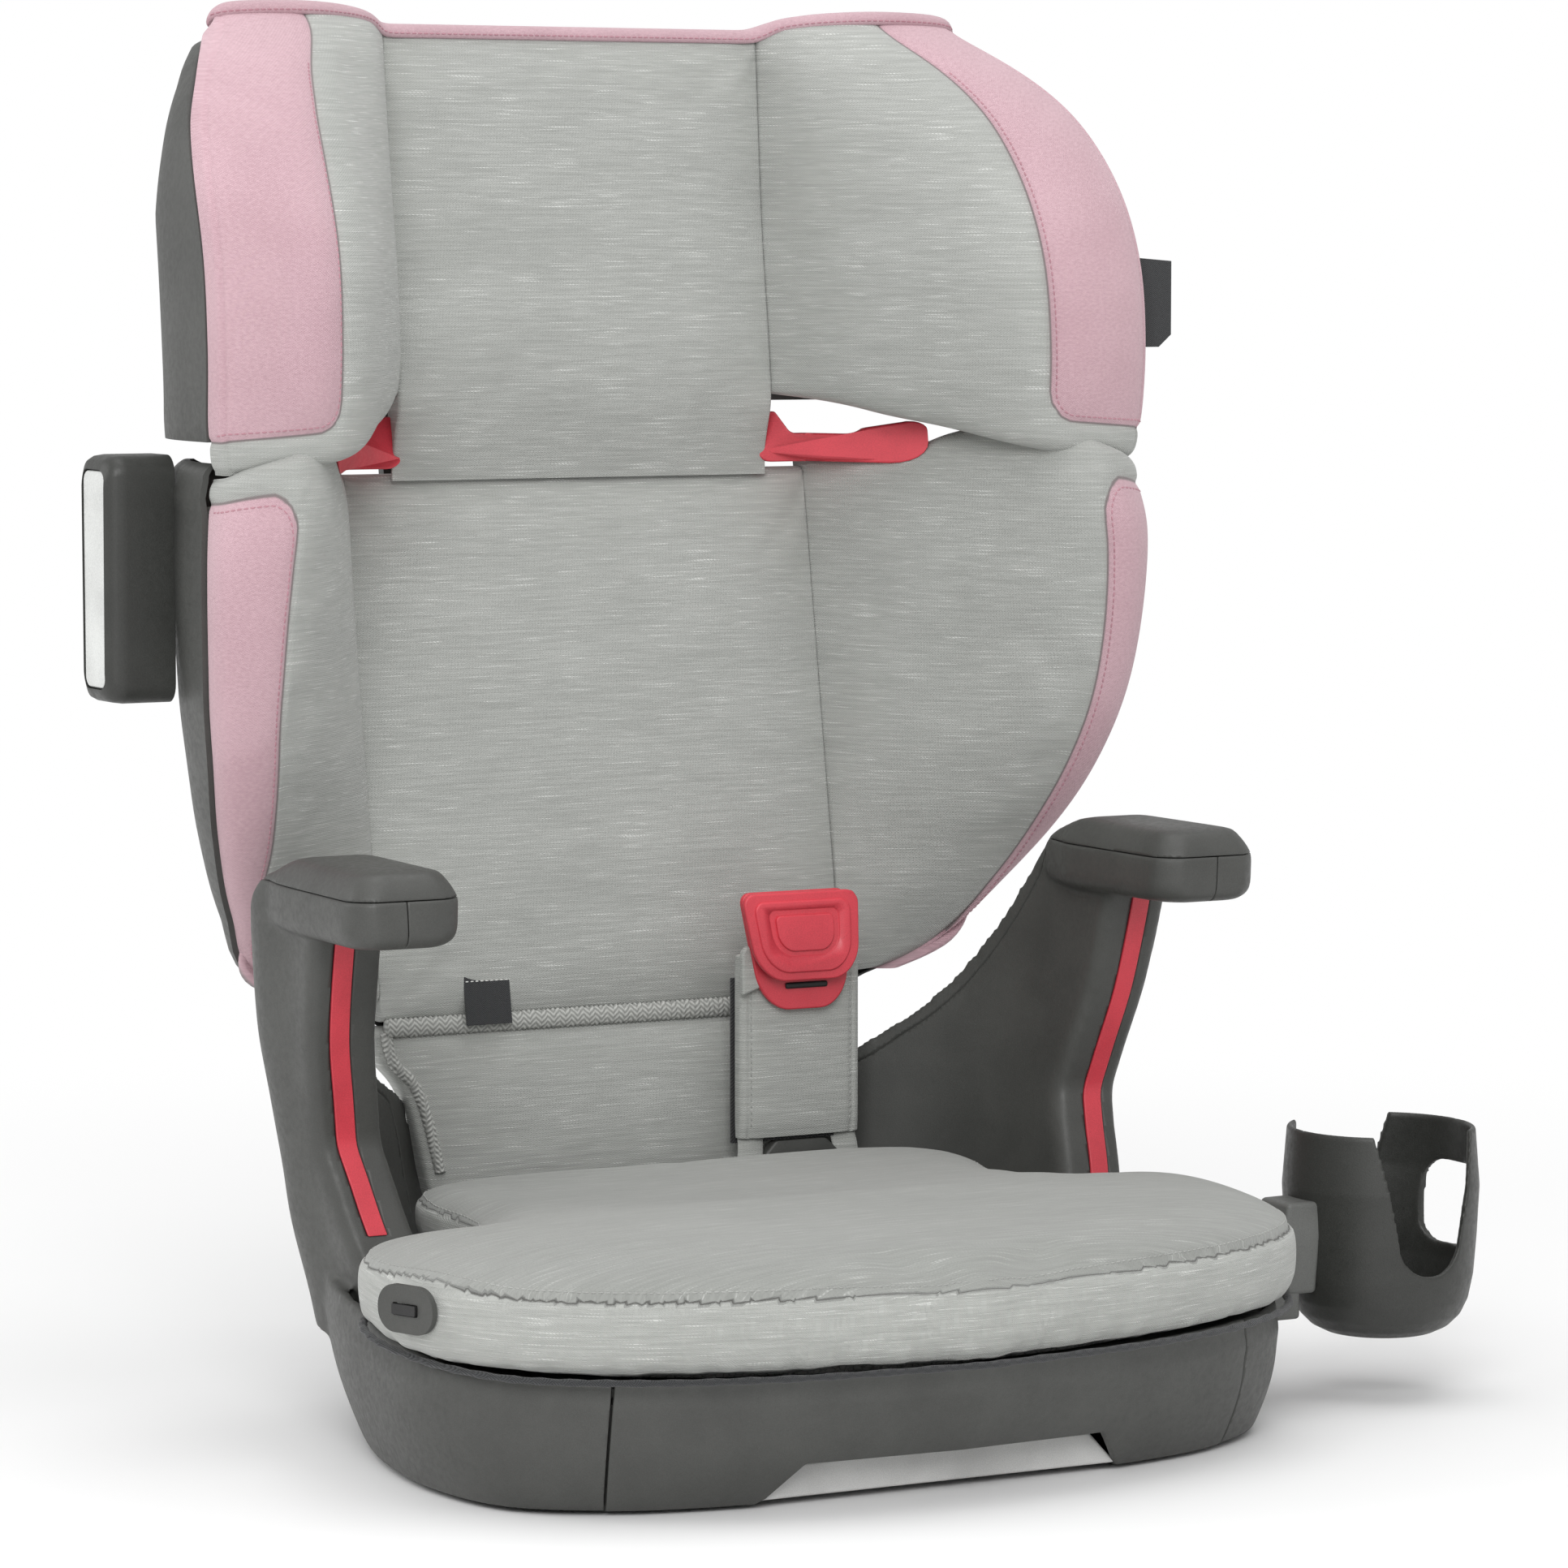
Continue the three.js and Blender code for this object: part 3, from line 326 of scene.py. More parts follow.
def mirror_copy(piece, name):
    """A mirror image of the piece on the other side of the seat."""
    copy = make_copy(piece, name)
    turn_over(copy)
    for source in piece.modifiers:
        new = copy.modifiers.new(source.name, source.type)
        for key in source.bl_rna.properties.keys():
            if not source.is_property_readonly(key):
                setattr(new, key, getattr(source, key))
    return copy


def flipped(points, sign):
    return np.asarray(points, float) * np.array([sign, 1, 1])


def skin_tree(piece):
    """A search tree over the piece's finished surface."""
    graph = bpy.context.evaluated_depsgraph_get()
    return BVHTree.FromObject(piece, graph)


def stitches(name, path, tree, material, body, pitch=3.1, length=2.3, radius=0.42, slot=None):
    """A row of raised thread stitches along a path, laid on a surface."""
    path = np.asarray(path, float)
    walked = run_length(path, 0)
    centres = np.arange(pitch, walked[-1] - pitch / 2, pitch)
    spots = points_at(centres, walked, path)
    ahead = points_at(centres + 0.6, walked, path)
    solids = []
    angles = full_turn(6)
    for spot, next_spot in zip(spots, ahead):
        on, normal, _, _ = tree.find_nearest(Vector(spot * MM))
        normal = np.array(normal)
        along = next_spot - spot
        along = along - normal * (along @ normal)
        along = along / (np.linalg.norm(along) + 1e-9)
        side = np.cross(normal, along)
        rings = []
        for share, wide in ((-1, 0.25), (-0.75, 0.8), (0, 1.0), (0.75, 0.8), (1, 0.25)):
            centre = np.array(on) / MM + along * share * length / 2
            rings.append([centre + radius * wide * (math.cos(a) * side + math.sin(a) * normal)
                          for a in angles])
        solids.append(tube(np.array(rings)))
    return make(name, *joined(*solids), material, body, slot=slot)


# ---------------------------------------------------------------- materials
class Shader:
    """Short ways to build a material's nodes."""

    def __init__(self, name):
        self.material = bpy.data.materials.new(name)
        self.material.use_nodes = True
        self.tree = self.material.node_tree
        self.tree.nodes.clear()

    def node(self, kind, settings=None, **inputs):
        new = self.tree.nodes.new("ShaderNode" + kind)
        for key, value in (settings or {}).items():
            setattr(new, key, value)
        for key, value in inputs.items():
            self.feed(new.inputs[key.replace("_", " ")], value)
        return new

    def feed(self, socket, value):
        if isinstance(value, bpy.types.NodeSocket):
            self.tree.links.new(value, socket)
        else:
            socket.default_value = value

    def maths(self, operation, *values):
        new = self.tree.nodes.new("ShaderNodeMath")
        new.operation = operation
        for socket, value in zip(new.inputs, values):
            self.feed(socket, value)
        return new.outputs[0]

    def times(self, value, factor):
        return self.maths("MULTIPLY", value, factor)

    def total(self, first, first_share, second, second_share):
        """A weighted sum of two values."""
        return self.maths("ADD", self.times(first, first_share), self.times(second, second_share))

    def ramp(self, value, low, high, to_low=0.0, to_high=1.0):
        """A smooth step of the value from low to high."""
        new = self.node("MapRange", {"interpolation_type": "SMOOTHSTEP"}, Value=value,
                        From_Min=low, From_Max=high, To_Min=to_low, To_Max=to_high)
        return new.outputs[0]

    def between(self, kind, sockets, share, first, second):
        new = self.tree.nodes.new("ShaderNodeMix")
        new.data_type = kind
        for socket, value in zip(sockets, (share, first, second)):
            self.feed(new.inputs[socket], value)
        return new.outputs

    def blend(self, share, first, second):
        """A colour between two colours."""
        return self.between("RGBA", (0, 6, 7), share, first, second)[2]

    def mix_values(self, share, first, second):
        """A value between two values."""
        return self.between("FLOAT", (0, 2, 3), share, first, second)[0]

    def noise(self, place, x=1.0, y=1.0, z=1.0, detail=2.0, roughness=0.5):
        """Noise whose cells measure x, y, z in the place's own units."""
        scaled = self.node("VectorMath", {"operation": "MULTIPLY"})
        self.feed(scaled.inputs[0], place)
        self.feed(scaled.inputs[1], (1 / x, 1 / y, 1 / z))
        new = self.node("TexNoise", Vector=scaled.outputs[0], Scale=1.0, Detail=detail,
                        Roughness=roughness)
        return new.outputs["Fac"]

    def in_millimetres(self, place):
        scaled = self.node("VectorMath", {"operation": "SCALE"}, Scale=1 / MM)
        self.feed(scaled.inputs[0], place)
        return scaled.outputs[0]

    def weave_place(self):
        """The fabric's own coordinates in millimetres: along the weft, up the warp."""
        place = self.in_millimetres(self.node("UVMap", {"uv_map": "weave"}).outputs[0])
        parts = self.node("SeparateXYZ", Vector=place)
        return place, parts.outputs[0], parts.outputs[1]

    def object_place(self):
        """The object's coordinates in millimetres."""
        return self.in_millimetres(self.node("TexCoord").outputs["Object"])

    def wave(self, value, pitch):
        """A wave from 0 to 1 that repeats every pitch."""
        turned = self.maths("SINE", self.times(value, 2 * math.pi / pitch))
        return self.maths("MULTIPLY_ADD", turned, 0.5, 0.5)

    def finish(self, colour, rough, height=None, depth=0.3, strength=1.0, **inputs):
        """The surface and its bump. Height runs from 0 to 1 and depth is in millimetres."""
        surface = self.node("BsdfPrincipled", Base_Color=colour, Roughness=rough, **inputs)
        if height is not None:
            bump = self.node("Bump", Height=height, Distance=depth * MM, Strength=strength)
            self.feed(surface.inputs["Normal"], bump.outputs[0])
        output = self.node("OutputMaterial")
        self.feed(output.inputs[0], surface.outputs[0])
        return self.material


def slub_weave(shader, base, place, u, v):
    """Colour and height of a heathered twill with pale slubs along the weft."""
    dark, light, slub_colour = base
    twill = shader.wave(shader.maths("ADD", u, shader.times(v, 1.7)), 1.55)
    weft = shader.wave(v, 0.85)
    heather = shader.noise(place, 38, 1.4, detail=3, roughness=0.65)
    cloud = shader.noise(place, 90, 28, detail=2)
    slub = shader.noise(place, 24, 0.6, detail=1.5, roughness=0.45)
    fine = shader.noise(place, 9, 0.5, detail=1)
    shaded = shader.total(heather, 0.75, cloud, 0.25)
    colour = shader.blend(shader.ramp(shaded, 0.3, 0.7), dark, light)
    colour = shader.blend(shader.times(twill, 0.22), colour, dark)
    picks = shader.maths("MULTIPLY_ADD", shader.wave(shader.maths("ADD", u, v), 1.9), 0.75, 0.25)
    streak = shader.ramp(shader.maths("ADD", slub, shader.times(cloud, 0.16)), 0.67, 0.80)
    flecks = shader.times(shader.ramp(fine, 0.62, 0.8), 0.3)
    shine = shader.maths("MULTIPLY", shader.maths("MAXIMUM", streak, flecks), picks)
    colour = shader.blend(shine, colour, slub_colour)
    ribs = shader.total(twill, 0.5, weft, 0.3)
    return colour, shader.maths("ADD", ribs, shader.times(shine, 0.6))


def fine_twill(shader, base, place, u, v):
    """Colour and height of a plain fine twill."""
    dark, light = base
    twill = shader.wave(shader.maths("ADD", u, shader.times(v, 2.2)), 1.5)
    yarn = shader.wave(u, 0.8)
    mottle = shader.noise(place, 2.2, 1.1, detail=3, roughness=0.7)
    cloud = shader.noise(place, 60, 60, detail=2)
    tone = shader.total(mottle, 0.6, cloud, 0.4)
    colour = shader.blend(shader.ramp(tone, 0.35, 0.65), dark, light)
    colour = shader.blend(shader.times(twill, 0.28), colour, dark)
    return colour, shader.total(twill, 0.65, yarn, 0.35)


GREY_YARNS = ((0.325, 0.333, 0.315, 1), (0.425, 0.434, 0.413, 1), (0.67, 0.68, 0.655, 1))
PINK_YARNS = ((0.49, 0.31, 0.35, 1), (0.61, 0.41, 0.455, 1))


def upholstery(name, banded=False, pink=False, seamed=False):
    """Seat fabric. Banded fabric is pink where the mesh attribute 'band' is above zero.

    Seamed fabric has a sewn line there, darkened as a painted shadow of the seam, and painted shade
    above zero that makes the cushion's top panel darker than its side band.
    """
    shader = Shader(name)
    place, u, v = shader.weave_place()
    if pink:
        colour, height = fine_twill(shader, PINK_YARNS, place, u, v)
    else:
        colour, height = slub_weave(shader, GREY_YARNS, place, u, v)
    if banded or seamed:
        band = shader.node("Attribute", {"attribute_name": "band"}).outputs["Fac"]
    if banded:
        pink_colour, pink_height = fine_twill(shader, PINK_YARNS, place, u, v)
        share = shader.ramp(band, -0.25, 0.25)
        colour = shader.blend(share, colour, pink_colour)
        height = shader.mix_values(share, height, pink_height)
        line = shader.ramp(shader.maths("ABSOLUTE", band), 0.1, 0.9)
        colour = shader.blend(line, (0.2, 0.17, 0.17, 1), colour)
    if seamed:
        # Painted shade: above zero (the cushion's top panel) the colour is darkened, as the light from
        # the front leaves the seat top darker.
        tone = shader.ramp(band, -0.3, 0.3, 0.0, 0.42)
        colour = shader.blend(tone, colour, (0.16, 0.165, 0.155, 1))
        # Painted shadow: the colour darkens to a dark line along the seam, and the bump also sinks
        # there.
        line = shader.ramp(shader.maths("ABSOLUTE", band), 0.1, 1.5)
        colour = shader.blend(line, (0.13, 0.13, 0.12, 1), colour)
        height = shader.maths("ADD", height, shader.times(line, 1.5))
    return shader.finish(colour, 0.88, height, depth=0.35, strength=0.7,
                         Sheen_Weight=0.22, Sheen_Roughness=0.45)


def moulded_plastic(name, colour, rough=0.5, grain=0.45, depth=0.12):
    """Moulded plastic with a fine etched grain and slightly uneven gloss."""
    shader = Shader(name)
    place = shader.object_place()
    patch = shader.noise(place, 38, 38, 38, detail=3)
    speck = shader.noise(place, grain, grain, grain, detail=2, roughness=0.6)
    scuff = shader.noise(place, 3.5, 3.5, 3.5, detail=4, roughness=0.7)
    paler = tuple(min(c * 1.22 + 0.004, 1) for c in colour) + (1,)
    darker = tuple(c * 0.84 for c in colour) + (1,)
    tone = shader.total(patch, 0.5, speck, 0.5)
    tint = shader.blend(shader.ramp(tone, 0.3, 0.7), darker, paler)
    gloss = shader.ramp(scuff, 0.3, 0.75, rough - 0.07, rough + 0.09)
    return shader.finish(tint, gloss, speck, depth=depth, strength=0.55)


def webbing(name, dark, light, pitch=1.7):
    """Woven tape: chevron yarns across a narrow band."""
    shader = Shader(name)
    place = shader.object_place()
    parts = shader.node("SeparateXYZ", Vector=place)
    x, z = parts.outputs[0], parts.outputs[2]
    chevron = shader.maths("PINGPONG", x, 3.2)
    rows = shader.wave(shader.maths("ADD", z, chevron), pitch)
    fuzz = shader.noise(place, 0.7, 0.7, 0.7, detail=3)
    tone = shader.times(rows, shader.maths("MULTIPLY_ADD", fuzz, 0.6, 0.6))
    return shader.finish(shader.blend(tone, dark, light), 0.8, rows, depth=0.3, strength=0.8,
                         Sheen_Weight=0.2)


def brushed_metal(name, colour):
    shader = Shader(name)
    place = shader.object_place()
    lines = shader.noise(place, 22, 0.5, 0.5, detail=3)
    stain = shader.noise(place, 16, 16, 16, detail=3)
    tint = shader.blend(shader.ramp(stain, 0.3, 0.7), tuple(c * 0.8 for c in colour) + (1,),
                        tuple(colour) + (1,))
    return shader.finish(tint, shader.ramp(lines, 0.3, 0.7, 0.28, 0.45), lines, depth=0.05,
                         strength=0.4, Metallic=0.9)


def beaded_foam(name):
    """Expanded foam: pale pressed beads with fine dark borders."""
    shader = Shader(name)
    place = shader.object_place()
    cells = shader.node("TexVoronoi", {"feature": "DISTANCE_TO_EDGE"}, Vector=place, Scale=0.3)
    edge = shader.ramp(cells.outputs["Distance"], 0.0, 0.12)
    colour = shader.blend(edge, (0.45, 0.45, 0.43, 1), (0.78, 0.78, 0.75, 1))
    return shader.finish(colour, 0.9, edge, depth=0.4, strength=0.6)


charcoal = moulded_plastic("charcoal_plastic", (0.053, 0.054, 0.050), 0.5)
deep_charcoal = moulded_plastic("charcoal_cup_plastic", (0.028, 0.029, 0.026), 0.46, grain=0.6)
mid_grey = moulded_plastic("grey_bracket_plastic", (0.115, 0.118, 0.112), 0.55)
black_plastic = moulded_plastic("black_plastic", (0.012, 0.012, 0.012), 0.5)
red_plastic = moulded_plastic("red_plastic", (0.56, 0.042, 0.062), 0.42, depth=0.07)
pale_plastic = moulded_plastic("pale_plastic", (0.50, 0.50, 0.49), 0.45, depth=0.07)
inlay_plastic = moulded_plastic("inlay_plastic", (0.60, 0.61, 0.595), 0.42, grain=0.6)
rubber = moulded_plastic("rubber", (0.022, 0.022, 0.022), 0.85, grain=0.8, depth=0.2)
grey_fabric = upholstery("grey_fabric")
banded_fabric = upholstery("grey_and_pink_fabric", banded=True)
pink_fabric = upholstery("pink_fabric", pink=True)
# Seat cushion fabric, with painted shade on its top panel and a painted shadow line along its seam.
seamed_fabric_with_painted_shade = upholstery("seamed_grey_fabric", seamed=True)
black_webbing = webbing("black_webbing", (0.008, 0.008, 0.009, 1), (0.05, 0.05, 0.052, 1))
black_tape = webbing("black_tape", (0.012, 0.013, 0.014, 1), (0.045, 0.047, 0.05, 1), 1.0)
grey_tape = webbing("grey_tape", (0.25, 0.255, 0.24, 1), (0.52, 0.525, 0.5, 1), 2.6)
steel = brushed_metal("zinc_steel", (0.46, 0.47, 0.48))
foam_beads = beaded_foam("foam_beads")
grey_thread = moulded_plastic("grey_thread", (0.34, 0.345, 0.33), 0.8, grain=0.3)
pink_thread = moulded_plastic("pink_thread", (0.43, 0.22, 0.26), 0.8, grain=0.3)
white_thread = moulded_plastic("white_thread", (0.7, 0.7, 0.68), 0.8, grain=0.3)


# ---------------------------------------------------------------- padded fabric
def edge_drop(distance, radius):
    """How far a rounded border of that radius has fallen away, at a distance from the border."""
    inside = np.clip(1 - distance / max(radius, 1e-6), 0, 1)
    return radius * (1 - np.sqrt(1 - inside**2))


def padded(name, skin, inward, depth, rounds, puff, seams=(), soft=26.0):
    """A closed pad from its front skin (rows go up, columns go across, both in millimetres).

    rounds are the radii of the first column, last column, first row and last row.
    seams are grids of distances from each sewn line. The middle swells by puff.
    """
    across = run_length(skin, 1)
    up = run_length(skin, 0)
    borders = (across, across[:, -1:] - across, up, up[-1:] - up)
    out = np.full(skin.shape[:2], float(puff))
    for distance in borders + tuple(np.abs(seam) for seam in seams):
        out *= 1 - 0.93 * np.exp(-distance / soft * 2.2)
    for distance, radius in zip(borders, rounds):
        out -= edge_drop(distance, radius)
    for seam in seams:
        out -= 1.5 * np.exp(-(seam / 1.5) ** 2)
    out = np.maximum(out, 1.2 - np.asarray(depth))
    front = skin - inward * out[..., None]
    back = skin + inward * np.broadcast_to(depth, out.shape)[..., None]
    points, faces = thick_sheet(front, back, RIM_SHARES)
    held = np.zeros(out.shape, bool)
    held[[0, -1], :] = True
    held[:, [0, -1]] = True
    for seam in seams:
        held |= np.abs(seam) < 1.6
    piece = make(name, points, faces, grey_fabric)
    group = piece.vertex_groups.new(name="held")
    fixed = np.flatnonzero(held.ravel()).tolist() + list(range(out.size, len(points)))
    group.add(fixed, 1.0, "REPLACE")
    weave = np.stack([across + skin[:, :1, 0], skin[..., 2]], -1)
    set_weave(piece, sheet_values(weave, RIM_SHARES))
    return piece


def set_weave(piece, weave):
    """Stores the fabric's coordinates (millimetres, one pair a point) as a UV map in metres."""
    layer = piece.data.uv_layers.new(name="weave")
    corners = np.zeros(len(piece.data.loops), int)
    piece.data.loops.foreach_get("vertex_index", corners)
    layer.data.foreach_set("uv", (np.asarray(weave)[corners] * MM).ravel())


def set_band(piece, band):
    """Stores the distance inside the pink band, in millimetres, at each point."""
    attribute = piece.data.attributes.new("band", "FLOAT", "POINT")
    attribute.data.foreach_set("value", np.asarray(band, np.float32).ravel())


def rounded_corner(x, y, radius):
    """Signed distance inside a corner region x > 0 and y > 0 whose corner has that radius."""
    return radius - np.hypot(np.maximum(radius - x, 0), np.maximum(radius - y, 0))


def swell(pads, pressure=4.0, cap=4.0, frames=20):
    """Inflates pads by cloth simulation. Seams and borders are held, and no point moves past cap."""
    scene = bpy.context.scene
    before = [coordinates(piece.data) for piece in pads]
    for piece in pads:
        cloth = piece.modifiers.new("cloth", "CLOTH")
        cloth.settings.quality = 5
        cloth.settings.mass = 0.2
        cloth.settings.tension_stiffness = 18
        cloth.settings.compression_stiffness = 18
        cloth.settings.shear_stiffness = 8
        cloth.settings.bending_stiffness = 1.5
        cloth.settings.use_pressure = True
        cloth.settings.uniform_pressure_force = pressure
        cloth.settings.effector_weights.gravity = 0
        if piece.vertex_groups:
            cloth.settings.vertex_group_mass = "held"
        cloth.collision_settings.use_collision = False
        cloth.point_cache.frame_start = 1
        cloth.point_cache.frame_end = frames
    for number in range(1, frames + 1):
        scene.frame_set(number)
    graph = bpy.context.evaluated_depsgraph_get()
    after = [coordinates(piece.evaluated_get(graph).data) for piece in pads]
    for piece, old, new in zip(pads, before, after):
        piece.modifiers.clear()
        moved = new - old
        length = np.linalg.norm(moved, axis=1, keepdims=True)
        limited = cap * MM * np.tanh(length / (cap * MM))
        place_points(piece.data, old + moved * limited / np.maximum(length, 1e-12))
    scene.frame_set(1)


# ---------------------------------------------------------------- the backrest's shapes
RECLINE = math.radians(9.3)
LEAN = math.tan(RECLINE)
BACK_LOW_CORNER, BACK_HIGH_CORNER = reach("back_center_pad")
CENTRE_HALF = BACK_HIGH_CORNER[0] + 1
FACE_AT_LOW = BACK_LOW_CORNER[1]
BACK_LOW = BACK_LOW_CORNER[2]
BACK_HIGH = BACK_HIGH_CORNER[2]
SHELL_DEPTH = 40
SHELL_TOP = 436                   # height of the back shell and of its wings' fabric
PAD = 12
WALL = 3


def back_face(z):
    """Y of the padding's front face, which leans back."""
    return FACE_AT_LOW + (z - BACK_LOW) * LEAN


back_half = smooth((95, 106), (165, 110), (180, 132), (198, 184), (235, 211), (274, 229),
                   (309, 239), (343, 245), (400, 248), (444, 245))
back_reach = smooth((165, 118), (198, 121), (235, 92), (274, 61), (309, 41), (343, 30),
                    (378, 24), (412, 22), (444, 26))
back_seam_in = smooth((198, 3), (235, 10), (274, 20), (327, 25), (378, 29), (427, 33))

head_high_corner = reach("headrest_center_pad")[1]
HEAD_CENTRE_HALF = head_high_corner[0] + 1
HEAD_TOP = head_high_corner[2]
head_face = smooth((432, 154.8), (440, 155), (455, 151.5), (470, 147), (500, 149.5), (560, 157),
                   (655, 164))
head_half = smooth((440, 245), (470, 248), (560, 247), (600, 240), (625, 227), (650, 203))
head_wrap = smooth((560, 9), (600, 8), (625, 4), (645, 12))
head_reach = smooth((440, 22), (465, 19), (500, 17), (540, 22), (575, 38), (610, 66),
                    (635, 98), (655, 132))
head_band = smooth((440, 58), (560, 60), (610, 56), (650, 46))


def wing_skin(z, t, root, tip, band_in, band_back, wrap):
    """Skin points and inward directions of a wing at heights z and path places t.

    The path runs from the middle seam (0) past the band's seam (0.5) and the front corner
    (0.75) to where it wraps round the outside (1). root and tip are (x, y) grids.
    """
    def pair(x, y):
        return np.stack(np.broadcast_arrays(x, y), -1)

    tip = (tip[0] - 3.5, tip[1] + 6)           # room for the padding to swell
    seam = (tip[0] - band_in, tip[1] - band_back)
    controls = [pair(*root),
                pair((root[0] + seam[0]) / 2 - 3, (root[1] + seam[1]) / 2 - 3),
                pair(*seam), pair(tip[0] - 4, tip[1] - 4), pair(tip[0], tip[1] + wrap)]
    place, along = catmull(controls, t)
    skin = np.concatenate([place, z[..., None]], -1)
    inward = np.stack([-along[..., 1], along[..., 0], np.zeros_like(z)], -1)
    turn = smooth((0, 0), (0.15, 1))(t)[..., None]
    inward = mix(np.array([0, 1.0, 0]), inward, turn)
    return skin, unit(inward)


def back_wing_skin(z, t):
    return wing_skin(z, t, (CENTRE_HALF + 0.1, back_face(z)), (back_half(z), back_reach(z)),
                     back_seam_in(z), np.minimum(17, back_seam_in(z) / 2), 3 + back_seam_in(z) / 3)


def head_wing_skin(z, t):
    tip_y = head_reach(z) + 6
    return wing_skin(z, t, (HEAD_CENTRE_HALF + 0.1, head_face(z) - 1), (head_half(z), tip_y),
                     head_band(z), 9, head_wrap(z))


def spread(skin_of, z, spacing, *more):
    """Path places t for columns about spacing apart at height z, closer round each seam."""
    fine = np.linspace(0, 1, 401)
    skin, _ = skin_of(np.full(401, float(z)), fine)
    walked = run_length(skin, 0)
    seams = np.interp((0.5,) + more, fine, walked)
    t = np.interp(ladder(walked[-1], spacing, *seams), walked, fine)
    return t, int(np.argmin(np.abs(t - 0.5)))


PAD_SPACING = 5.0


def wing_depth(t, full):
    """The pad thins where it folds round the front corner."""
    return np.interp(t, (0, 0.5, 0.68, 1), (full, full, full * 0.5, full * 0.35))


BACK_WING = {"low": 188, "high": SHELL_TOP, "lip": 9}      # lip: grey above the pink band's rounded top
back_wing_lift = smooth((0, 4), (0.15, 8), (0.25, 19), (0.34, 24), (0.45, 19), (0.6, 14), (0.8, 7),
                        (1, 5))


def back_wing_at(level, t):
    """The back wing's skin, whose top edge is lifted to meet the headrest."""
    rise = np.clip((level - 400) / 36, 0, 1) ** 2
    return back_wing_skin(level + back_wing_lift(t) * rise, t)


def finish_wing(piece, band, sign):
    """Gives a wing its pink band and puts it on its own side of the seat."""
    set_band(piece, sheet_values(band, RIM_SHARES))
    dress(piece, banded_fabric)
    if sign < 0:
        turn_over(piece)


def back_wing_pad(side, sign):
    t, seam_column = spread(back_wing_skin, 380, PAD_SPACING)
    low, high = BACK_WING["low"], BACK_WING["high"]
    lip = high - BACK_WING["lip"]
    level, t = np.meshgrid(low + ladder(high - low, PAD_SPACING, lip - low), t, indexing="ij")
    skin, inward = back_wing_at(level, t)
    across = run_length(skin, 1)
    past_seam = across - across[:, seam_column:seam_column + 1]
    band = rounded_corner(past_seam, lip - level, 15)
    depth = wing_depth(t, PAD)
    piece = padded("back_wing_cover_" + side, skin, inward, depth, (1.3, 1.5, 4, 6), 4.5,
                   seams=(np.clip(band, -40, 14.9),))
    finish_wing(piece, band, sign)
    return piece, seam_path(back_wing_at, np.linspace(low + 14, lip - 15, 60), lip, sign)


def seam_path(skin_of, heights, lip, sign, inset=3.2, radius=15, step=-1):
    """The line of stitches just inside the pink band: up its seam and round its corner."""
    fine = np.linspace(0.5, 1, 300)

    def at(inside, z):
        skin, _ = skin_of(np.full(300, float(z)), fine)
        walked = run_length(skin, 0)
        return points_at(inside, walked, skin)

    points = [at(inset, z) for z in heights]
    for angle in np.linspace(0, math.pi / 2, 14):
        inside = radius - (radius - inset) * math.cos(angle)
        below = radius - (radius - inset) * math.sin(angle)
        points.append(at(inside, lip + step * below))
    skin, _ = skin_of(np.full(300, float(lip + step * inset)), fine)
    width = run_length(skin, 0)[-1]
    points += [at(x, lip + step * inset) for x in np.linspace(radius, width - 4, 12)]
    return flipped(points, sign)


head_wing_low = smooth((0, 474), (0.1, 470), (0.2, 464), (0.3, 459), (0.45, 450), (0.6, 446),
                       (0.8, 443), (1, 443))
head_wing_high = smooth((0, 650), (0.12, 655), (0.45, 658), (0.7, 657), (0.88, 652), (1, 646))


def head_wing_rows(t):
    """Lowest and highest z of the headrest wing along its path."""
    return head_wing_low(t), head_wing_high(t)


HEAD_LIP = 15
EDGE_SEAM = 0.76                  # path place of the seam near the headrest wing's front corner
CENTRE_TOP = HEAD_TOP - 6
APRON = 434                       # the headrest's centre hangs over the back down to here


def head_wing_pad(side, sign):
    t, seam_column = spread(head_wing_skin, 540, PAD_SPACING, EDGE_SEAM)
    edge_column = int(np.argmin(np.abs(t - EDGE_SEAM)))
    rows = ladder(185, PAD_SPACING) / 185
    lip_row = HEAD_LIP / 195
    lip_rows = lip_row + np.array([-2, -1, 0, 1, 2]) * 0.006
    rows = np.sort(np.r_[rows[np.abs(rows - lip_row) > 0.016], lip_rows])
    v, t = np.meshgrid(rows, t, indexing="ij")
    low, high = head_wing_rows(t)
    z = mix(low, high, v)
    skin, inward = head_wing_skin(z, t)
    across = run_length(skin, 1)
    past_seam = across - across[:, seam_column:seam_column + 1]
    above_lip = z - low - HEAD_LIP
    band = rounded_corner(past_seam, above_lip, 13)
    depth = wing_depth(t, PAD)
    past_edge = across - across[:, edge_column:edge_column + 1]
    piece = padded("headrest_wing_cover_" + side, skin, inward, depth, (1.3, 1.5, 7, 5), 6.0,
                   seams=(np.clip(band, -60, 12.9), past_edge), soft=30)
    finish_wing(piece, band, sign)
    return piece, head_seam_path(sign)


def head_seam_path(sign, inset=3.2, radius=13):
    """The line of stitches inside the headrest's pink band, from the lower edge to the top."""
    fine = np.linspace(0.5, 1, 200)
    points = []

    def at(inside, above):
        low, _ = head_wing_rows(fine)
        skin, _ = head_wing_skin(low + HEAD_LIP + above, fine)
        walked = run_length(skin, 0)
        return points_at(inside, walked, skin)

    points += [at(x, inset) for x in np.linspace(64, radius, 20)]
    for angle in np.linspace(math.pi / 2, 0, 12):
        points.append(at(radius - (radius - inset) * math.cos(angle),
                         radius - (radius - inset) * math.sin(angle)))
    points += [at(inset, above) for above in np.linspace(radius, 168, 60)]
    return flipped(points, sign)


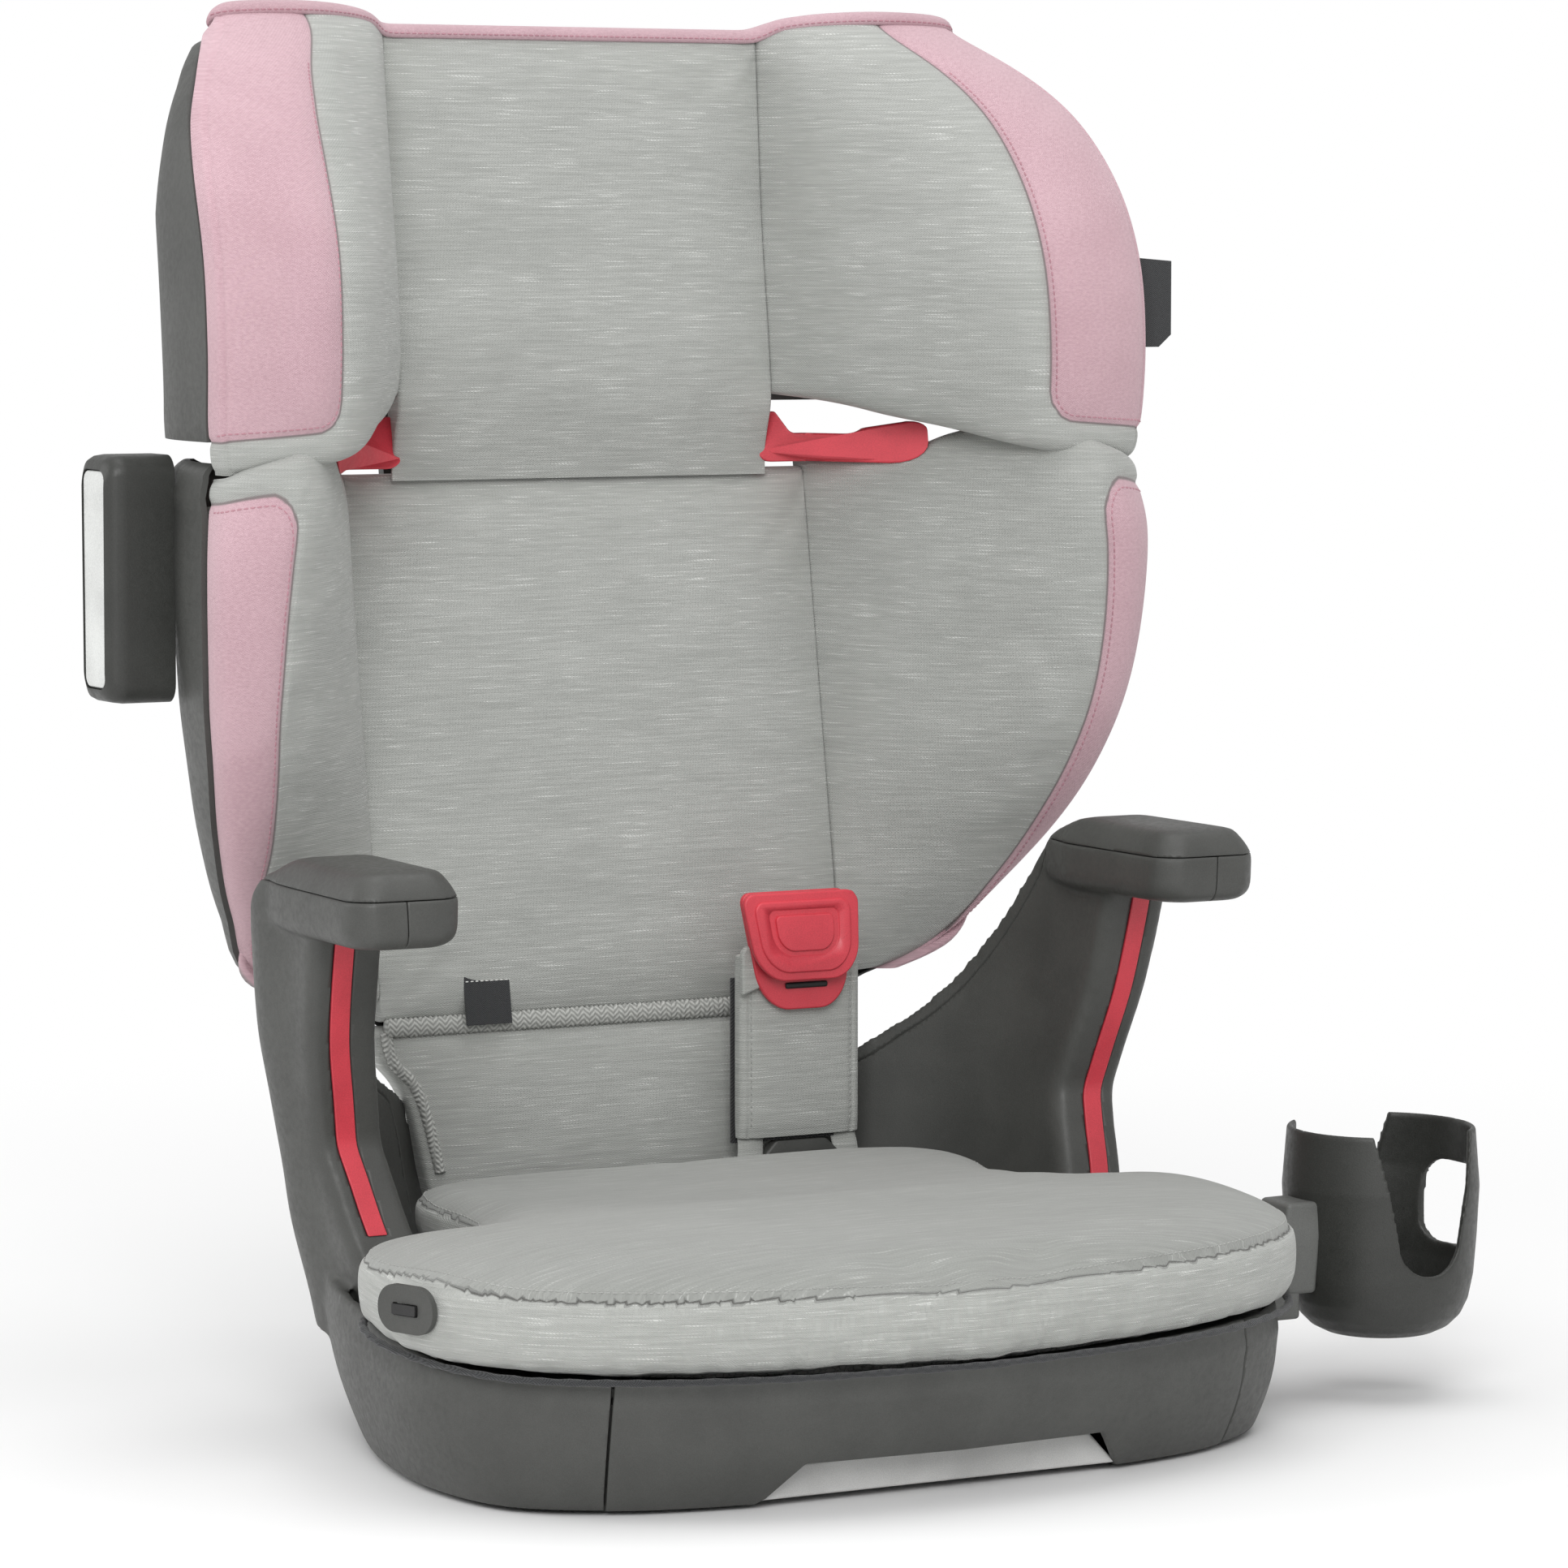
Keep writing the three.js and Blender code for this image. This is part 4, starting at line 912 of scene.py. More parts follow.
def flat_pad(name, half, z_low, z_high, face, depth, rounds, puff, sunk=0.0, widen=None):
    """A padded panel between two heights, symmetrical about the middle of the seat."""
    x = ladder(2 * half, PAD_SPACING) - half
    heights = z_low + ladder(z_high - z_low, PAD_SPACING)
    z, x = np.meshgrid(heights, x, indexing="ij")
    if widen is not None:
        x = x * widen(z) / half
    skin = np.stack([x, face(z) + sunk, z], -1)
    inward = np.zeros_like(skin)
    inward[..., 1] = 1
    return padded(name, skin, inward, depth(z), rounds, puff, soft=34)


def full_pad(z):
    return np.full_like(z, PAD)


apron_depth = smooth((440, 0.9), (462, PAD))
lower_half = smooth((88, 103), (110, 107), (135, 112), (148, 117), (160, 127), (186, 130))


def add_back_and_head_pads():
    pads, lines = [], []
    back = flat_pad("back_center_cover", CENTRE_HALF, BACK_LOW + 2, BACK_HIGH + 3, back_face,
                    full_pad, (1.3, 1.3, 4, 4), 3.5)
    lower_low, lower_high = reach("lower_back_pad")
    lower = flat_pad("lower_back_cover", lower_high[0], lower_low[2] - 12, lower_high[2] + 1, back_face,
                     full_pad, (4, 4, 3, 3), 3.0, sunk=4.0, widen=lower_half)
    head = flat_pad("headrest_center_cover", HEAD_CENTRE_HALF, APRON, CENTRE_TOP, head_face,
                    apron_depth, (1.3, 1.3, 0.6, 5), 3.5)
    settle(back, "backrest", ["back_center_pad"], "grey_fabric")
    settle(lower, "backrest", ["lower_back_pad"], "grey_fabric")
    settle(head, "headrest", ["headrest_center_pad"], "grey_fabric")
    pads += [back, lower, head]
    for side, sign in SIDES:
        wing, path = back_wing_pad(side, sign)
        settle(wing, "backrest", ["back_wing_pad_" + side], "grey_fabric")
        lines.append(("back_wing_stitching_" + side, path, wing, "backrest"))
        pads.append(wing)
        wing, path = head_wing_pad(side, sign)
        settle(wing, "headrest", ["headrest_wing_pad_" + side], "pink_fabric")
        lines.append(("headrest_wing_stitching_" + side, path, wing, "headrest"))
        pads.append(wing)
    return pads, lines


# ---------------------------------------------------------------- base mouldings
RIM = 62
FLOOR_LINE = ((0, -207), (95, -201), (150, -187), (190, -158), (203, -110),
              (199, -50), (184, 5), (160, 60), (132, 104))
RIM_LINE = ((0, -240), (90, -228), (153, -204), (194, -172), (213, -125),
            (212, -60), (203, 5), (180, 60), (144, 104))
rim_height = smooth((-240, RIM), (-170, RIM), (-110, RIM + 3), (-40, RIM + 12), (60, RIM + 22))
SKIRT_FOOT = 1.5
PANEL_END = 0.268                 # where the front panel meets the side mouldings
NOTCH = reach("front_pull_handle")[1] + np.array([1.5, 0, 2.5])
NOTCH_SLOPE = 16                  # the notch is this much wider at the floor on each side


def base_point(t, h, inset=0.0):
    """A point outside the base: t runs from the middle front to the rear, h from floor to rim."""
    t, h = np.broadcast_arrays(np.asarray(t, float), np.asarray(h, float))
    low, _ = catmull(FLOOR_LINE, np.abs(t))
    high, along = catmull(RIM_LINE, np.abs(t))
    away = np.stack([along[..., 1], -along[..., 0]], -1)
    bulge = 5 * np.sin(np.pi * h) + 0.9 * np.exp(-((h - 0.8) / 0.06) ** 2) - inset
    spot = mix(low, high, h[..., None]) + away * bulge[..., None]
    side = np.where(t < 0, -1.0, 1.0)
    z = np.maximum(rim_height(high[..., 1]) * h, SKIRT_FOOT)
    return np.stack([spot[..., 0] * side, spot[..., 1], z], -1)


def base_front_panel():
    """The front panel, whose lower edge steps up over the pull handle."""
    fine = np.linspace(0, PANEL_END, 400)
    width = base_point(fine, 0.15)[:, 0]
    top = np.interp(NOTCH[0] - NOTCH_SLOPE, width, fine)
    foot = np.interp(NOTCH[0], width, fine)
    half = np.unique(np.r_[np.linspace(0, top, 16), np.linspace(top, foot, 6),
                           np.linspace(foot, PANEL_END - 0.0015, 16)])
    t = np.r_[-half[:0:-1], half]
    lowest = np.interp(np.abs(t), (top, foot), (NOTCH[2] / RIM, 0.0))
    h = mix(lowest, 1.0, np.linspace(0, 1, 18)[:, None])
    grid = [base_point(np.broadcast_to(t, h.shape), h, inset) for inset in (0, WALL)]
    panel = make("front_panel", *thick_sheet(*grid), charcoal, "base", ["base_front_panel"],
                 "charcoal_plastic")
    bevelled(panel, 0.8)


# ---------------------------------------------------------------- armrests
ARM_ELLIPSE = {"x": 232, "y": 178, "centre": -22}
CAP_SEAM = reach("arm_cap_right")[0][2] - 0.35
ARM_UNDER = 239
REST = {"front": -97, "half": 27.5, "toe": 2}
rest_width = smooth((-10, 1), (16, 0.82), (44, 0.72))
SPLIT = 0.43                      # where the front seam and the strip sit across the arm
arm_lean = smooth((0, 42), (62, 30), (101, 20), (126, 16), (159, 10), (193, 4), (261, 0))
arm_front = smooth((62, -41), (101, -21.5), (130, -7), (139.6, -3.2), (150, -5.2), (230, -27),
                   (245, -31))
arm_rear = smooth((62, 122), (140, 121), (150, 112), (159, 104), (166, 96.5), (180, 84.5),
                  (201, 69), (221, 55), (240, 42), (254, 31), (262, 20), (268, 8), (273, -6))
arm_swell = smooth((-30, -7), (0, -5), (35, 8), (80, 6), (122, 0))
arm_inset = smooth((-60, 45), (0, 40), (60, 26), (120, 14))


def arm_thickness(y):
    return arm_inset(y) + arm_swell(y)


def arm_outer(y, z):
    """X of the arm's outer face: an ellipse behind its widest point, straight ahead of it."""
    behind = np.maximum(y - ARM_ELLIPSE["centre"], 0) / ARM_ELLIPSE["y"]
    return ARM_ELLIPSE["x"] * np.sqrt(np.maximum(1 - behind**2, 0)) - arm_lean(z) + arm_swell(y)


def arm_wall():
    heights = np.linspace(50, CAP_SEAM + 4, 44)
    z, t = np.meshgrid(heights, np.linspace(0, 1, 26), indexing="ij")
    y = mix(arm_front(z), arm_rear(z), t)
    round_off = 4 * (1 - np.sqrt(1 - np.clip(1 - t * 12, 0, 1) ** 2))
    outer = np.stack([arm_outer(y, z) - round_off, y, z], -1)
    inner = np.stack([arm_outer(y, z) - arm_thickness(y) + round_off, y, z], -1)
    return tube(np.concatenate([outer, inner[:, ::-1]], 1))


def rest_ring(z, tuck, count=30):
    """A plan outline of the armrest, drawn inside its widest outline by tuck."""
    t = (1 - np.cos(np.linspace(0, math.pi, count))) / 2
    y = mix(REST["front"] + tuck, arm_rear(z) + 2.0 - tuck / 2, t)
    full = REST["half"] * rest_width(y)
    toe = REST["toe"] * smooth((REST["front"], 1), (-22, 0))(y)
    middle = arm_outer(y, CAP_SEAM) - np.minimum(arm_swell(y), 0) - full + toe
    nose = np.clip(1 - t / 0.12, 0, 1)
    tail = np.clip(1 - (1 - t) / 0.05, 0, 1)
    blunt = (1 - nose**2.6 * 0.4) * (1 - tail**2 * 0.2)
    half = (full - tuck) * blunt
    right = np.stack([middle + half, y], -1)
    left = np.stack([middle - half, y], -1)[::-1]
    outline = np.concatenate([right, left])
    return np.concatenate([outline, np.full((len(outline), 1), float(z))], 1)


def rest_body():
    """The armrest with its cap: a rounded bar with a gently crowned top."""
    profile = ((0, 7), (1.2, 3.6), (3.4, 1.2), (7, 0), (14, 0), (20.5, 0), (23.5, 0.8), (27, 2.8),
               (31, 5.6), (33, 7.4), (34, 10.5), (34.6, 16))
    return tube(np.array([rest_ring(ARM_UNDER + rise, tuck) for rise, tuck in profile]))


def side_skirt():
    t = np.linspace(PANEL_END - 0.02, 1, 60)
    h = np.linspace(0, 1, 16)[:, None]
    grid = [base_point(np.broadcast_to(t, (16, 60)), np.broadcast_to(h, (16, 60)), inset)
            for inset in (0, 5)]
    return thick_sheet(*grid)


def arm_and_side():
    """One side's whole moulding, as a single soft-edged skin on the +X side."""
    whole = make("arm_whole", *joined(arm_wall(), rest_body(), side_skirt()), charcoal)
    remeshed(whole, 2.0, 7)
    return carved(whole, panel_space())


def panel_space():
    """The space that the front panel fills, with a fine gap at its end."""
    t = np.linspace(PANEL_END - 0.05, PANEL_END + 0.0012, 14)
    h = np.linspace(0, 1, 8)[:, None]
    around = [base_point(np.broadcast_to(t, (8, 14)), np.broadcast_to(h, (8, 14)), inset)
              for inset in (-14, 16)]
    for grid in around:
        grid[0, :, 2] -= 8
        grid[-1, :, 2] += 10
    return make("cutter", *thick_sheet(*around), charcoal)


def seam_sheet(y_low, y_high, z_low, z_high, thick=0.55):
    """A thin upright cutting sheet that follows the arm at the split of its two halves."""
    z, y = np.meshgrid(np.linspace(z_low, z_high, 30), np.linspace(y_low, y_high, 24), indexing="ij")
    x = arm_outer(y, z) - SPLIT * arm_thickness(y)
    front = np.stack([x - thick / 2, y, z], -1)
    back = np.stack([x + thick / 2, y, z], -1)
    return make("cutter", *thick_sheet(front, back), charcoal)


def rear_seam_sheet(offset, thick=0.6):
    """A thin cutting sheet that runs down the arm's inner face, ahead of its rear edge."""
    z = np.linspace(86, CAP_SEAM, 40)
    deep = np.array([-4.0, 1.3])
    z, deep = np.meshgrid(z, deep, indexing="ij")
    y = arm_rear(z) - offset
    x = arm_outer(y, z) - arm_thickness(y) + deep
    run = np.stack([x, y, z], -1)
    below, behind = run - UP * thick, run + np.array([0, thick * 0.8, 0])
    return make("cutter", *thick_sheet(below, behind), charcoal)


def strip_path(z):
    """Where the belt path strip runs down the arm's front face: x, y."""
    y = arm_front(z)
    return arm_outer(y, z) - SPLIT * arm_thickness(y), y


STRIP_HALF = 4.7
STRIP_LOW, STRIP_HIGH = reach("belt_guide_strip_right")[0][2], ARM_UNDER + 1


def strip_solid(half, proud, sunk):
    z = np.linspace(STRIP_LOW, STRIP_HIGH, 40)
    x, y = strip_path(z)
    rows = [np.stack([x + dx, y + dy, z], -1)
            for dx, dy in ((-half, sunk), (half, sunk), (half, -proud), (-half, -proud))]
    return tube(np.stack(rows, 1))


def cap_cutter(low, high):
    return make("cutter", *box_solid((60, -160, low), (330, 150, high)), charcoal)


def add_arms_and_sides():
    whole = arm_and_side()
    cap = make_copy(whole, "arm_cap_cover")
    carved(cap, cap_cutter(CAP_SEAM + 0.3, 400), "INTERSECT")
    carved(whole, cap_cutter(CAP_SEAM - 0.3, 400))
    carved(whole, seam_sheet(REST["front"] - 8, -40, ARM_UNDER - 12, CAP_SEAM + 2))
    carved(whole, rear_seam_sheet(9))
    carved(whole, make("cutter", *strip_solid(STRIP_HALF + 0.7, 6, 1.3), charcoal))
    strip = make("belt_path_strip", *strip_solid(STRIP_HALF, 0.7, 1.2), red_plastic)
    bevelled(strip, 0.5)
    for piece, nodes, slot in ((whole, ("arm_outer_", "arm_inner_"), "charcoal_plastic"),
                               (cap, ("arm_cap_",), "charcoal_plastic"),
                               (strip, ("belt_guide_strip_",), "red_plastic")):
        pair = {"right": piece, "left": mirror_copy(piece, piece.name + "_left")}
        piece.name = piece.name.replace("whole", "moulding") + "_right"
        pair["left"].name = piece.name.replace("_right", "_left")
        for side, one in pair.items():
            settle(one, "base", [node + side for node in nodes], slot)


# ---------------------------------------------------------------- seat cushion
PAD_LINE = ((0, -252), (95, -240), (160, -217), (205, -180), (227, -118),
            (228, -74), (212, -53), (166, -46), (149, -18), (150, 30), (138, 58), (100, 72))
PAD_LOW = reach("seat_cover")[0][2]
PAD_SEAM = 95
PAD_CENTRE = np.array([0, -80])


def cushion_outline(count):
    """The cushion's plan outline, anticlockwise all the way round."""
    t = np.linspace(0.0, 1, count)
    right, _ = catmull(PAD_LINE, t)
    left = right[::-1] * np.array([-1, 1])
    return np.concatenate([right, left[:-1]])


def cushion_ring(outline, z, scale, follow):
    plan = (outline - PAD_CENTRE) * scale + PAD_CENTRE
    rise = follow * (rim_height(outline[:, 1]) - RIM)
    return np.concatenate([plan, (z + rise)[:, None]], 1)


def cushion_form():
    """The seat cover before it is inflated: a rolled side band and a crowned top."""
    outline = cushion_outline(80)
    profile = ((PAD_LOW + 6, 0.84, 1), (PAD_LOW + 1, 0.90, 1), (PAD_LOW - 1, 0.95, 1),
               (PAD_LOW + 1, 0.976, 1), (PAD_LOW + 8, 0.99, 0.9), (PAD_LOW + 18, 0.994, 0.75),
               (PAD_SEAM - 8, 0.994, 0.6), (PAD_SEAM - 1, 0.99, 0.5), (PAD_SEAM + 3, 0.977, 0.42),
               (PAD_SEAM + 6, 0.95, 0.3), (PAD_SEAM + 9.5, 0.89, 0.12), (PAD_SEAM + 12.5, 0.82, -0.1),
               (PAD_SEAM + 15, 0.7, -0.25), (PAD_SEAM + 16.5, 0.5, -0.3), (PAD_SEAM + 17, 0.2, -0.3))
    return tube(np.array([cushion_ring(outline, *row) for row in profile]))


def crown_seam():
    """The sewn line where the side band meets the top panel, as a closed path from the rear."""
    outline = cushion_outline(320)
    return np.roll(cushion_ring(outline, PAD_SEAM + 3.5, 0.974, 0.4), 320, axis=0)


def drawn_out(points):
    """The cover is drawn out to meet the back of the adjuster's oval surround."""
    low, high = reach("adjuster_bezel")
    spot = (np.array(low) + np.array(high)) / 2
    outward = np.array([-0.932, -0.362, 0])
    depth = (points - spot) @ outward
    sideways = np.linalg.norm(points - spot - depth[:, None] * outward, axis=1)
    surface = (depth > -40) & (depth < 20)
    short = -depth[surface & (sideways < 8)].max() - 1.5
    share = np.exp(-(sideways / 32) ** 2) * np.clip((depth + 40) / 25, 0, 1)
    return points + (max(short, 0) * share)[:, None] * outward


def add_seat_cushion():
    cushion = make("seat_cushion_cover", *cushion_form(), grey_fabric)
    remeshed(cushion, 4.5, 4)
    swell([cushion], pressure=3.0, cap=5.0)
    modifier(cushion, "SUBSURF", levels=1, render_levels=1)
    applied(cushion)
    points = coordinates(cushion.data) / MM
    seam = crown_seam()
    gap, nearest = nearest_on_path(points, seam)
    groove = 2.2 * np.exp(-(gap / 2.2) ** 2) * (points[:, 2] > PAD_LOW + 18)
    points -= coordinates(cushion.data, "normal") * groove[:, None]
    points = drawn_out(gathered_hem(points))
    place_points(cushion.data, points * MM)
    walked = run_length(seam, 0)
    inside = in_top_panel(points, seam[nearest])
    top = points[:, :2]
    side = np.stack([walked[nearest], -gap - 300], -1)
    set_weave(cushion, np.where(inside[:, None], top, side))
    # band is positive on the top panel, which the fabric darkens with painted shade.
    set_band(cushion, np.where(inside, gap, -gap))
    dress(cushion, seamed_fabric_with_painted_shade)
    settle(cushion, "base", ["seat_cover"], "grey_fabric")
    add_elastic()
    line = cushion_ring(cushion_outline(160), PAD_SEAM + 6, 0.958, 0.34)
    stitches("seat_top_stitching", line, skin_tree(cushion), grey_thread, "base", slot="grey_fabric")


def outward_in_plan(spots):
    """Level directions from the middle of the cushion to each spot."""
    away = spots - np.append(PAD_CENTRE, 0)
    away[:, 2] = 0
    return unit(away)


def add_elastic():
    """The dark cord that grips the cover's hem, just above the base's rim."""
    centre = cushion_ring(cushion_outline(150), PAD_LOW - 0.4, 0.968, 1)
    away = outward_in_plan(centre)
    thick = 1.5 + 0.25 * np.sin(np.arange(len(centre)) * 1.9)
    rings = np.stack([centre + away * (thick * 1.3 * math.cos(a))[:, None]
                      + UP * (thick * math.sin(a))[:, None] for a in full_turn(10)], 1)
    make("seat_elastic", *closed_loop(rings), black_tape, "base", slot="black_fabric")


def closed_loop(rings):
    """Points and faces of a ring-shaped solid whose last cross-section meets its first."""
    count, size = rings.shape[:2]
    r, c = np.meshgrid(np.arange(count), np.arange(size), indexing="ij")
    after, beside = (r + 1) % count, (c + 1) % size
    quads = np.stack([r * size + c, r * size + beside, after * size + beside, after * size + c], -1)
    return rings.reshape(-1, 3), quads.reshape(-1, 4).tolist()


def nearest_on_path(points, path):
    """Distance from each point to a path, and the index of the path's nearest point."""
    best = np.full(len(points), 1e9)
    index = np.zeros(len(points), int)
    for i, spot in enumerate(path):
        distance = np.linalg.norm(points - spot, axis=1)
        closer = distance < best
        best[closer] = distance[closer]
        index[closer] = i
    return best, index


def in_top_panel(points, spot):
    """True where a point is on the upper side of the crown seam, whose nearest point is spot."""
    away = outward_in_plan(spot)
    away[:, 2] = -0.9
    return np.einsum("ij,ij->i", points - spot, away) < 0


def gathered_hem(points):
    """Small gathers where elastic pulls the cover in under its lower edge."""
    angle = np.arctan2(points[:, 1] - PAD_CENTRE[1], points[:, 0])
    floor = PAD_LOW + (rim_height(points[:, 1]) - RIM)
    near = np.exp(-((points[:, 2] - floor - 3) / 6) ** 2)
    ripple = np.sin(angle * 61) + 0.6 * np.sin(angle * 97 + 1.3)
    away = unit(points[:, :2] - PAD_CENTRE)
    points[:, :2] += away * (near * ripple * 0.55)[:, None]
    return points


# ---------------------------------------------------------------- shells behind the padding
def shell_grid(shape, z, inset):
    """A rounded half box from the front edge on one side to the front edge on the other."""
    angle = np.linspace(-1, 1, z.shape[1]) * math.pi / 2
    power = 2 / shape["boxiness"](z)
    across = np.sign(np.sin(angle)) * np.abs(np.sin(angle)) ** power
    behind = np.abs(np.cos(angle)) ** power
    x = (shape["half"](z) - inset) * across
    front = shape["front"](z)
    y = front + (shape["rear"](z) - inset - front) * behind
    return np.stack([x, y, z], -1)


def back_reveal(z):
    return back_reach(z) + 9 + back_seam_in(z) / 3


BACK_SHELL = {"half": lambda z: back_half(z) - 1 + 1.5 * np.exp(-((z - 432) / 5) ** 2),
              "front": back_reveal, "rear": lambda z: back_face(z) + SHELL_DEPTH,
              "boxiness": lambda z: np.full_like(z, 2.5)}
HEAD_SHELL = {"half": lambda z: head_half(z) - 3, "front": lambda z: head_reach(z) + 21,
              "rear": lambda z: head_face(np.maximum(z, 470)) + 27,
              "boxiness": smooth((560, 3.4), (620, 2.4))}


def shell(shape, low, high, chamfer, collar_low=0, collar_high=0):
    """A moulded shell with a chamfered top edge. Collars make its two sides taller."""
    share = np.unique(np.r_[np.linspace(0, 1, 46), 1 - np.array([0.6, 1.6, 3, 5]) / (high - low)])
    columns = 72
    side = smooth((0.42, 0), (0.72, 1))(np.abs(np.linspace(-1, 1, columns)))
    z = mix(low - collar_low * side, high + collar_high * side, share[:, None])
    below = (high + collar_high * side) - z
    tuck = chamfer * np.clip(1 - below / 6, 0, 1) ** 2
    outer, inner = (shell_grid(shape, z, tuck + more) for more in (0, WALL))
    return thick_sheet(outer, inner)


def shell_prism(outline, face, lean, middle, depths):
    """A cutter behind a leaning shell, with an (x, up) outline centred at a height."""
    def place(x, z, out):
        return x, face + out + z * lean, middle + z

    return make("cutter", *prism(outline, place, depths), charcoal)


def recess_cutter(low, high, x_half, depth, corner):
    """A rounded cutter that presses a shallow panel into the back of the back shell."""
    middle = (low + high) / 2
    outline = rounded_outline(2 * x_half, high - low, corner)
    return shell_prism(outline, back_face(middle) + SHELL_DEPTH, LEAN, middle, (-depth, 14))


def rounded_outline(width, height, corner, per_corner=8):
    """A centred rounded rectangle as (x, y) points, anticlockwise."""
    points = []
    for turn, (sx, sy) in enumerate(((1, -1), (1, 1), (-1, 1), (-1, -1))):
        centre = (sx * (width / 2 - corner), sy * (height / 2 - corner))
        for angle in np.linspace(-math.pi / 2, 0, per_corner) + turn * math.pi / 2:
            points.append((centre[0] + corner * math.cos(angle), centre[1] + corner * math.sin(angle)))
    return points


def add_shells():
    low, high = reach("back_shell")
    back = make("back_shell_cover", *shell(BACK_SHELL, low[2], SHELL_TOP, 5, 0, 12), charcoal)
    spine_low, spine_high = 430, high[2]
    half = 88
    outline = rounded_outline(2 * half, spine_high - spine_low + 40, 14)
    mid = (spine_low - 40 + spine_high) / 2
    carved(back, shell_prism(outline, back_face(mid) + 35, LEAN, mid, (0, 6)), "UNION")
    for z_low, z_high, x_half in ((205, 262, 70), (280, 337, 78), (355, 412, 78)):
        carved(back, recess_cutter(z_low, z_high, x_half, 1.4, 9))
    bevelled(back, 0.7, angle=30)
    settle(back, "backrest", ["back_shell"], "charcoal_plastic")
    head = make("headrest_shell_cover", *shell(HEAD_SHELL, 470, 644, 8, 12, 0), charcoal)
    carved(head, shell_prism(rounded_outline(250, 96, 20), head_face(560) + 27, 0.06, 566, (-1.6, 14)))
    bevelled(head, 0.7, angle=30)
    settle(head, "headrest", ["headrest_shell"], "charcoal_plastic")


# ---------------------------------------------------------------- headrest trim
def headrest_top_band():
    """The pink strip that folds over the top of the headrest, from wing to wing."""
    t = np.linspace(0.02, 0.9, 60)
    _, top = head_wing_rows(t)
    wing, inward = head_wing_skin(top, t)
    middle_x = np.linspace(-HEAD_CENTRE_HALF, HEAD_CENTRE_HALF, 60)
    middle = np.stack([middle_x, np.full(60, head_face(CENTRE_TOP)), np.full(60, CENTRE_TOP)], -1)
    behind = np.tile([0.0, 1.0, 0.0], (60, 1))
    mirror = np.array([-1, 1, 1])
    spots = np.concatenate([wing[::-1] * mirror, middle, wing])
    inward = np.concatenate([inward[::-1] * mirror, behind, inward])
    spots, inward = blur(spots, 3), blur(inward, 4)
    inward = unit(inward)
    front_drop = 3.5
    section = [(-1.3, -front_drop), (-2.1, -1.2), (-1.2, 1.4), (1.5, 3.0), (6, 3.6), (14, 3.2),
               (22, 1.4), (23, -1.5), (12, -2.2), (2, -2.6), (0.6, -front_drop - 0.4)]
    rings = np.stack([spots + inward * back + UP * rise for back, rise in section], 1)
    band = make("headrest_top_band", *tube(rings), pink_fabric)
    walked = np.repeat(run_length(spots, 0), len(section))
    girth = np.tile(np.arange(len(section)) * 3.0, len(spots))
    set_weave(band, np.stack([walked, girth], -1))
    modifier(band, "SUBSURF", levels=1, render_levels=1)
    settle(band, "headrest", slot="pink_fabric")
    line = spots + inward * -1.9 + UP * (-front_drop + 2.2)
    stitches("headrest_top_stitching", line[4:-4], skin_tree(band), pink_thread, "headrest",
             slot="pink_fabric")
    top_cover(spots + inward * 8 - UP * 1.5)


def top_cover(path):
    """Fabric that closes the headrest's top, from the pink strip back to the shell."""
    ring = shell_grid(HEAD_SHELL, np.full((1, 240), 639.0), WALL + 1.0)[0]
    walked = run_length(ring, 0)
    even = np.linspace(walked[-1] * 0.03, walked[-1] * 0.97, len(path))
    ring = points_at(even, walked, ring)
    share = np.linspace(0, 1, 10)[:, None, None]
    top = mix(path[None], ring[None], share)
    top[..., 2] += 2.5 * np.sin(share[..., 0] * math.pi)
    below = top - UP * 2.5
    cover = make("headrest_top_cover", *thick_sheet(top, below), grey_fabric)
    set_weave(cover, np.concatenate([top, below])[..., :2].reshape(-1, 2))
    settle(cover, "headrest", slot="grey_fabric")


def blur(values, passes):
    """Evens out a path's corners."""
    for _ in range(passes):
        values = values.copy()
        values[1:-1] = (values[:-2] + 2 * values[1:-1] + values[2:]) / 4
    return values


def extruded(name, outline, depth, place, material, bevel=1.0, segments=3):
    """A flat moulding: an (x, z) outline pushed back by depth along +Y from place(x, y, z)."""
    ring = np.array(outline, float)
    rings = [np.stack(place(ring[:, 0], np.full(len(ring), y), ring[:, 1]), -1) for y in (0, depth)]
    piece = make(name, *tube(np.array(rings)), material)
    bevelled(piece, bevel, segments)
    return piece


def arc(centre, radius, start, end, count=7):
    """Points on an arc, with angles in degrees."""
    angles = np.radians(np.linspace(start, end, count))
    return [(centre[0] + radius * math.cos(a), centre[1] + radius * math.sin(a)) for a in angles]


GUIDE_OUTER = 158                 # the guide's outer end, measured from the middle of the seat
GUIDE_THICK = 6.5


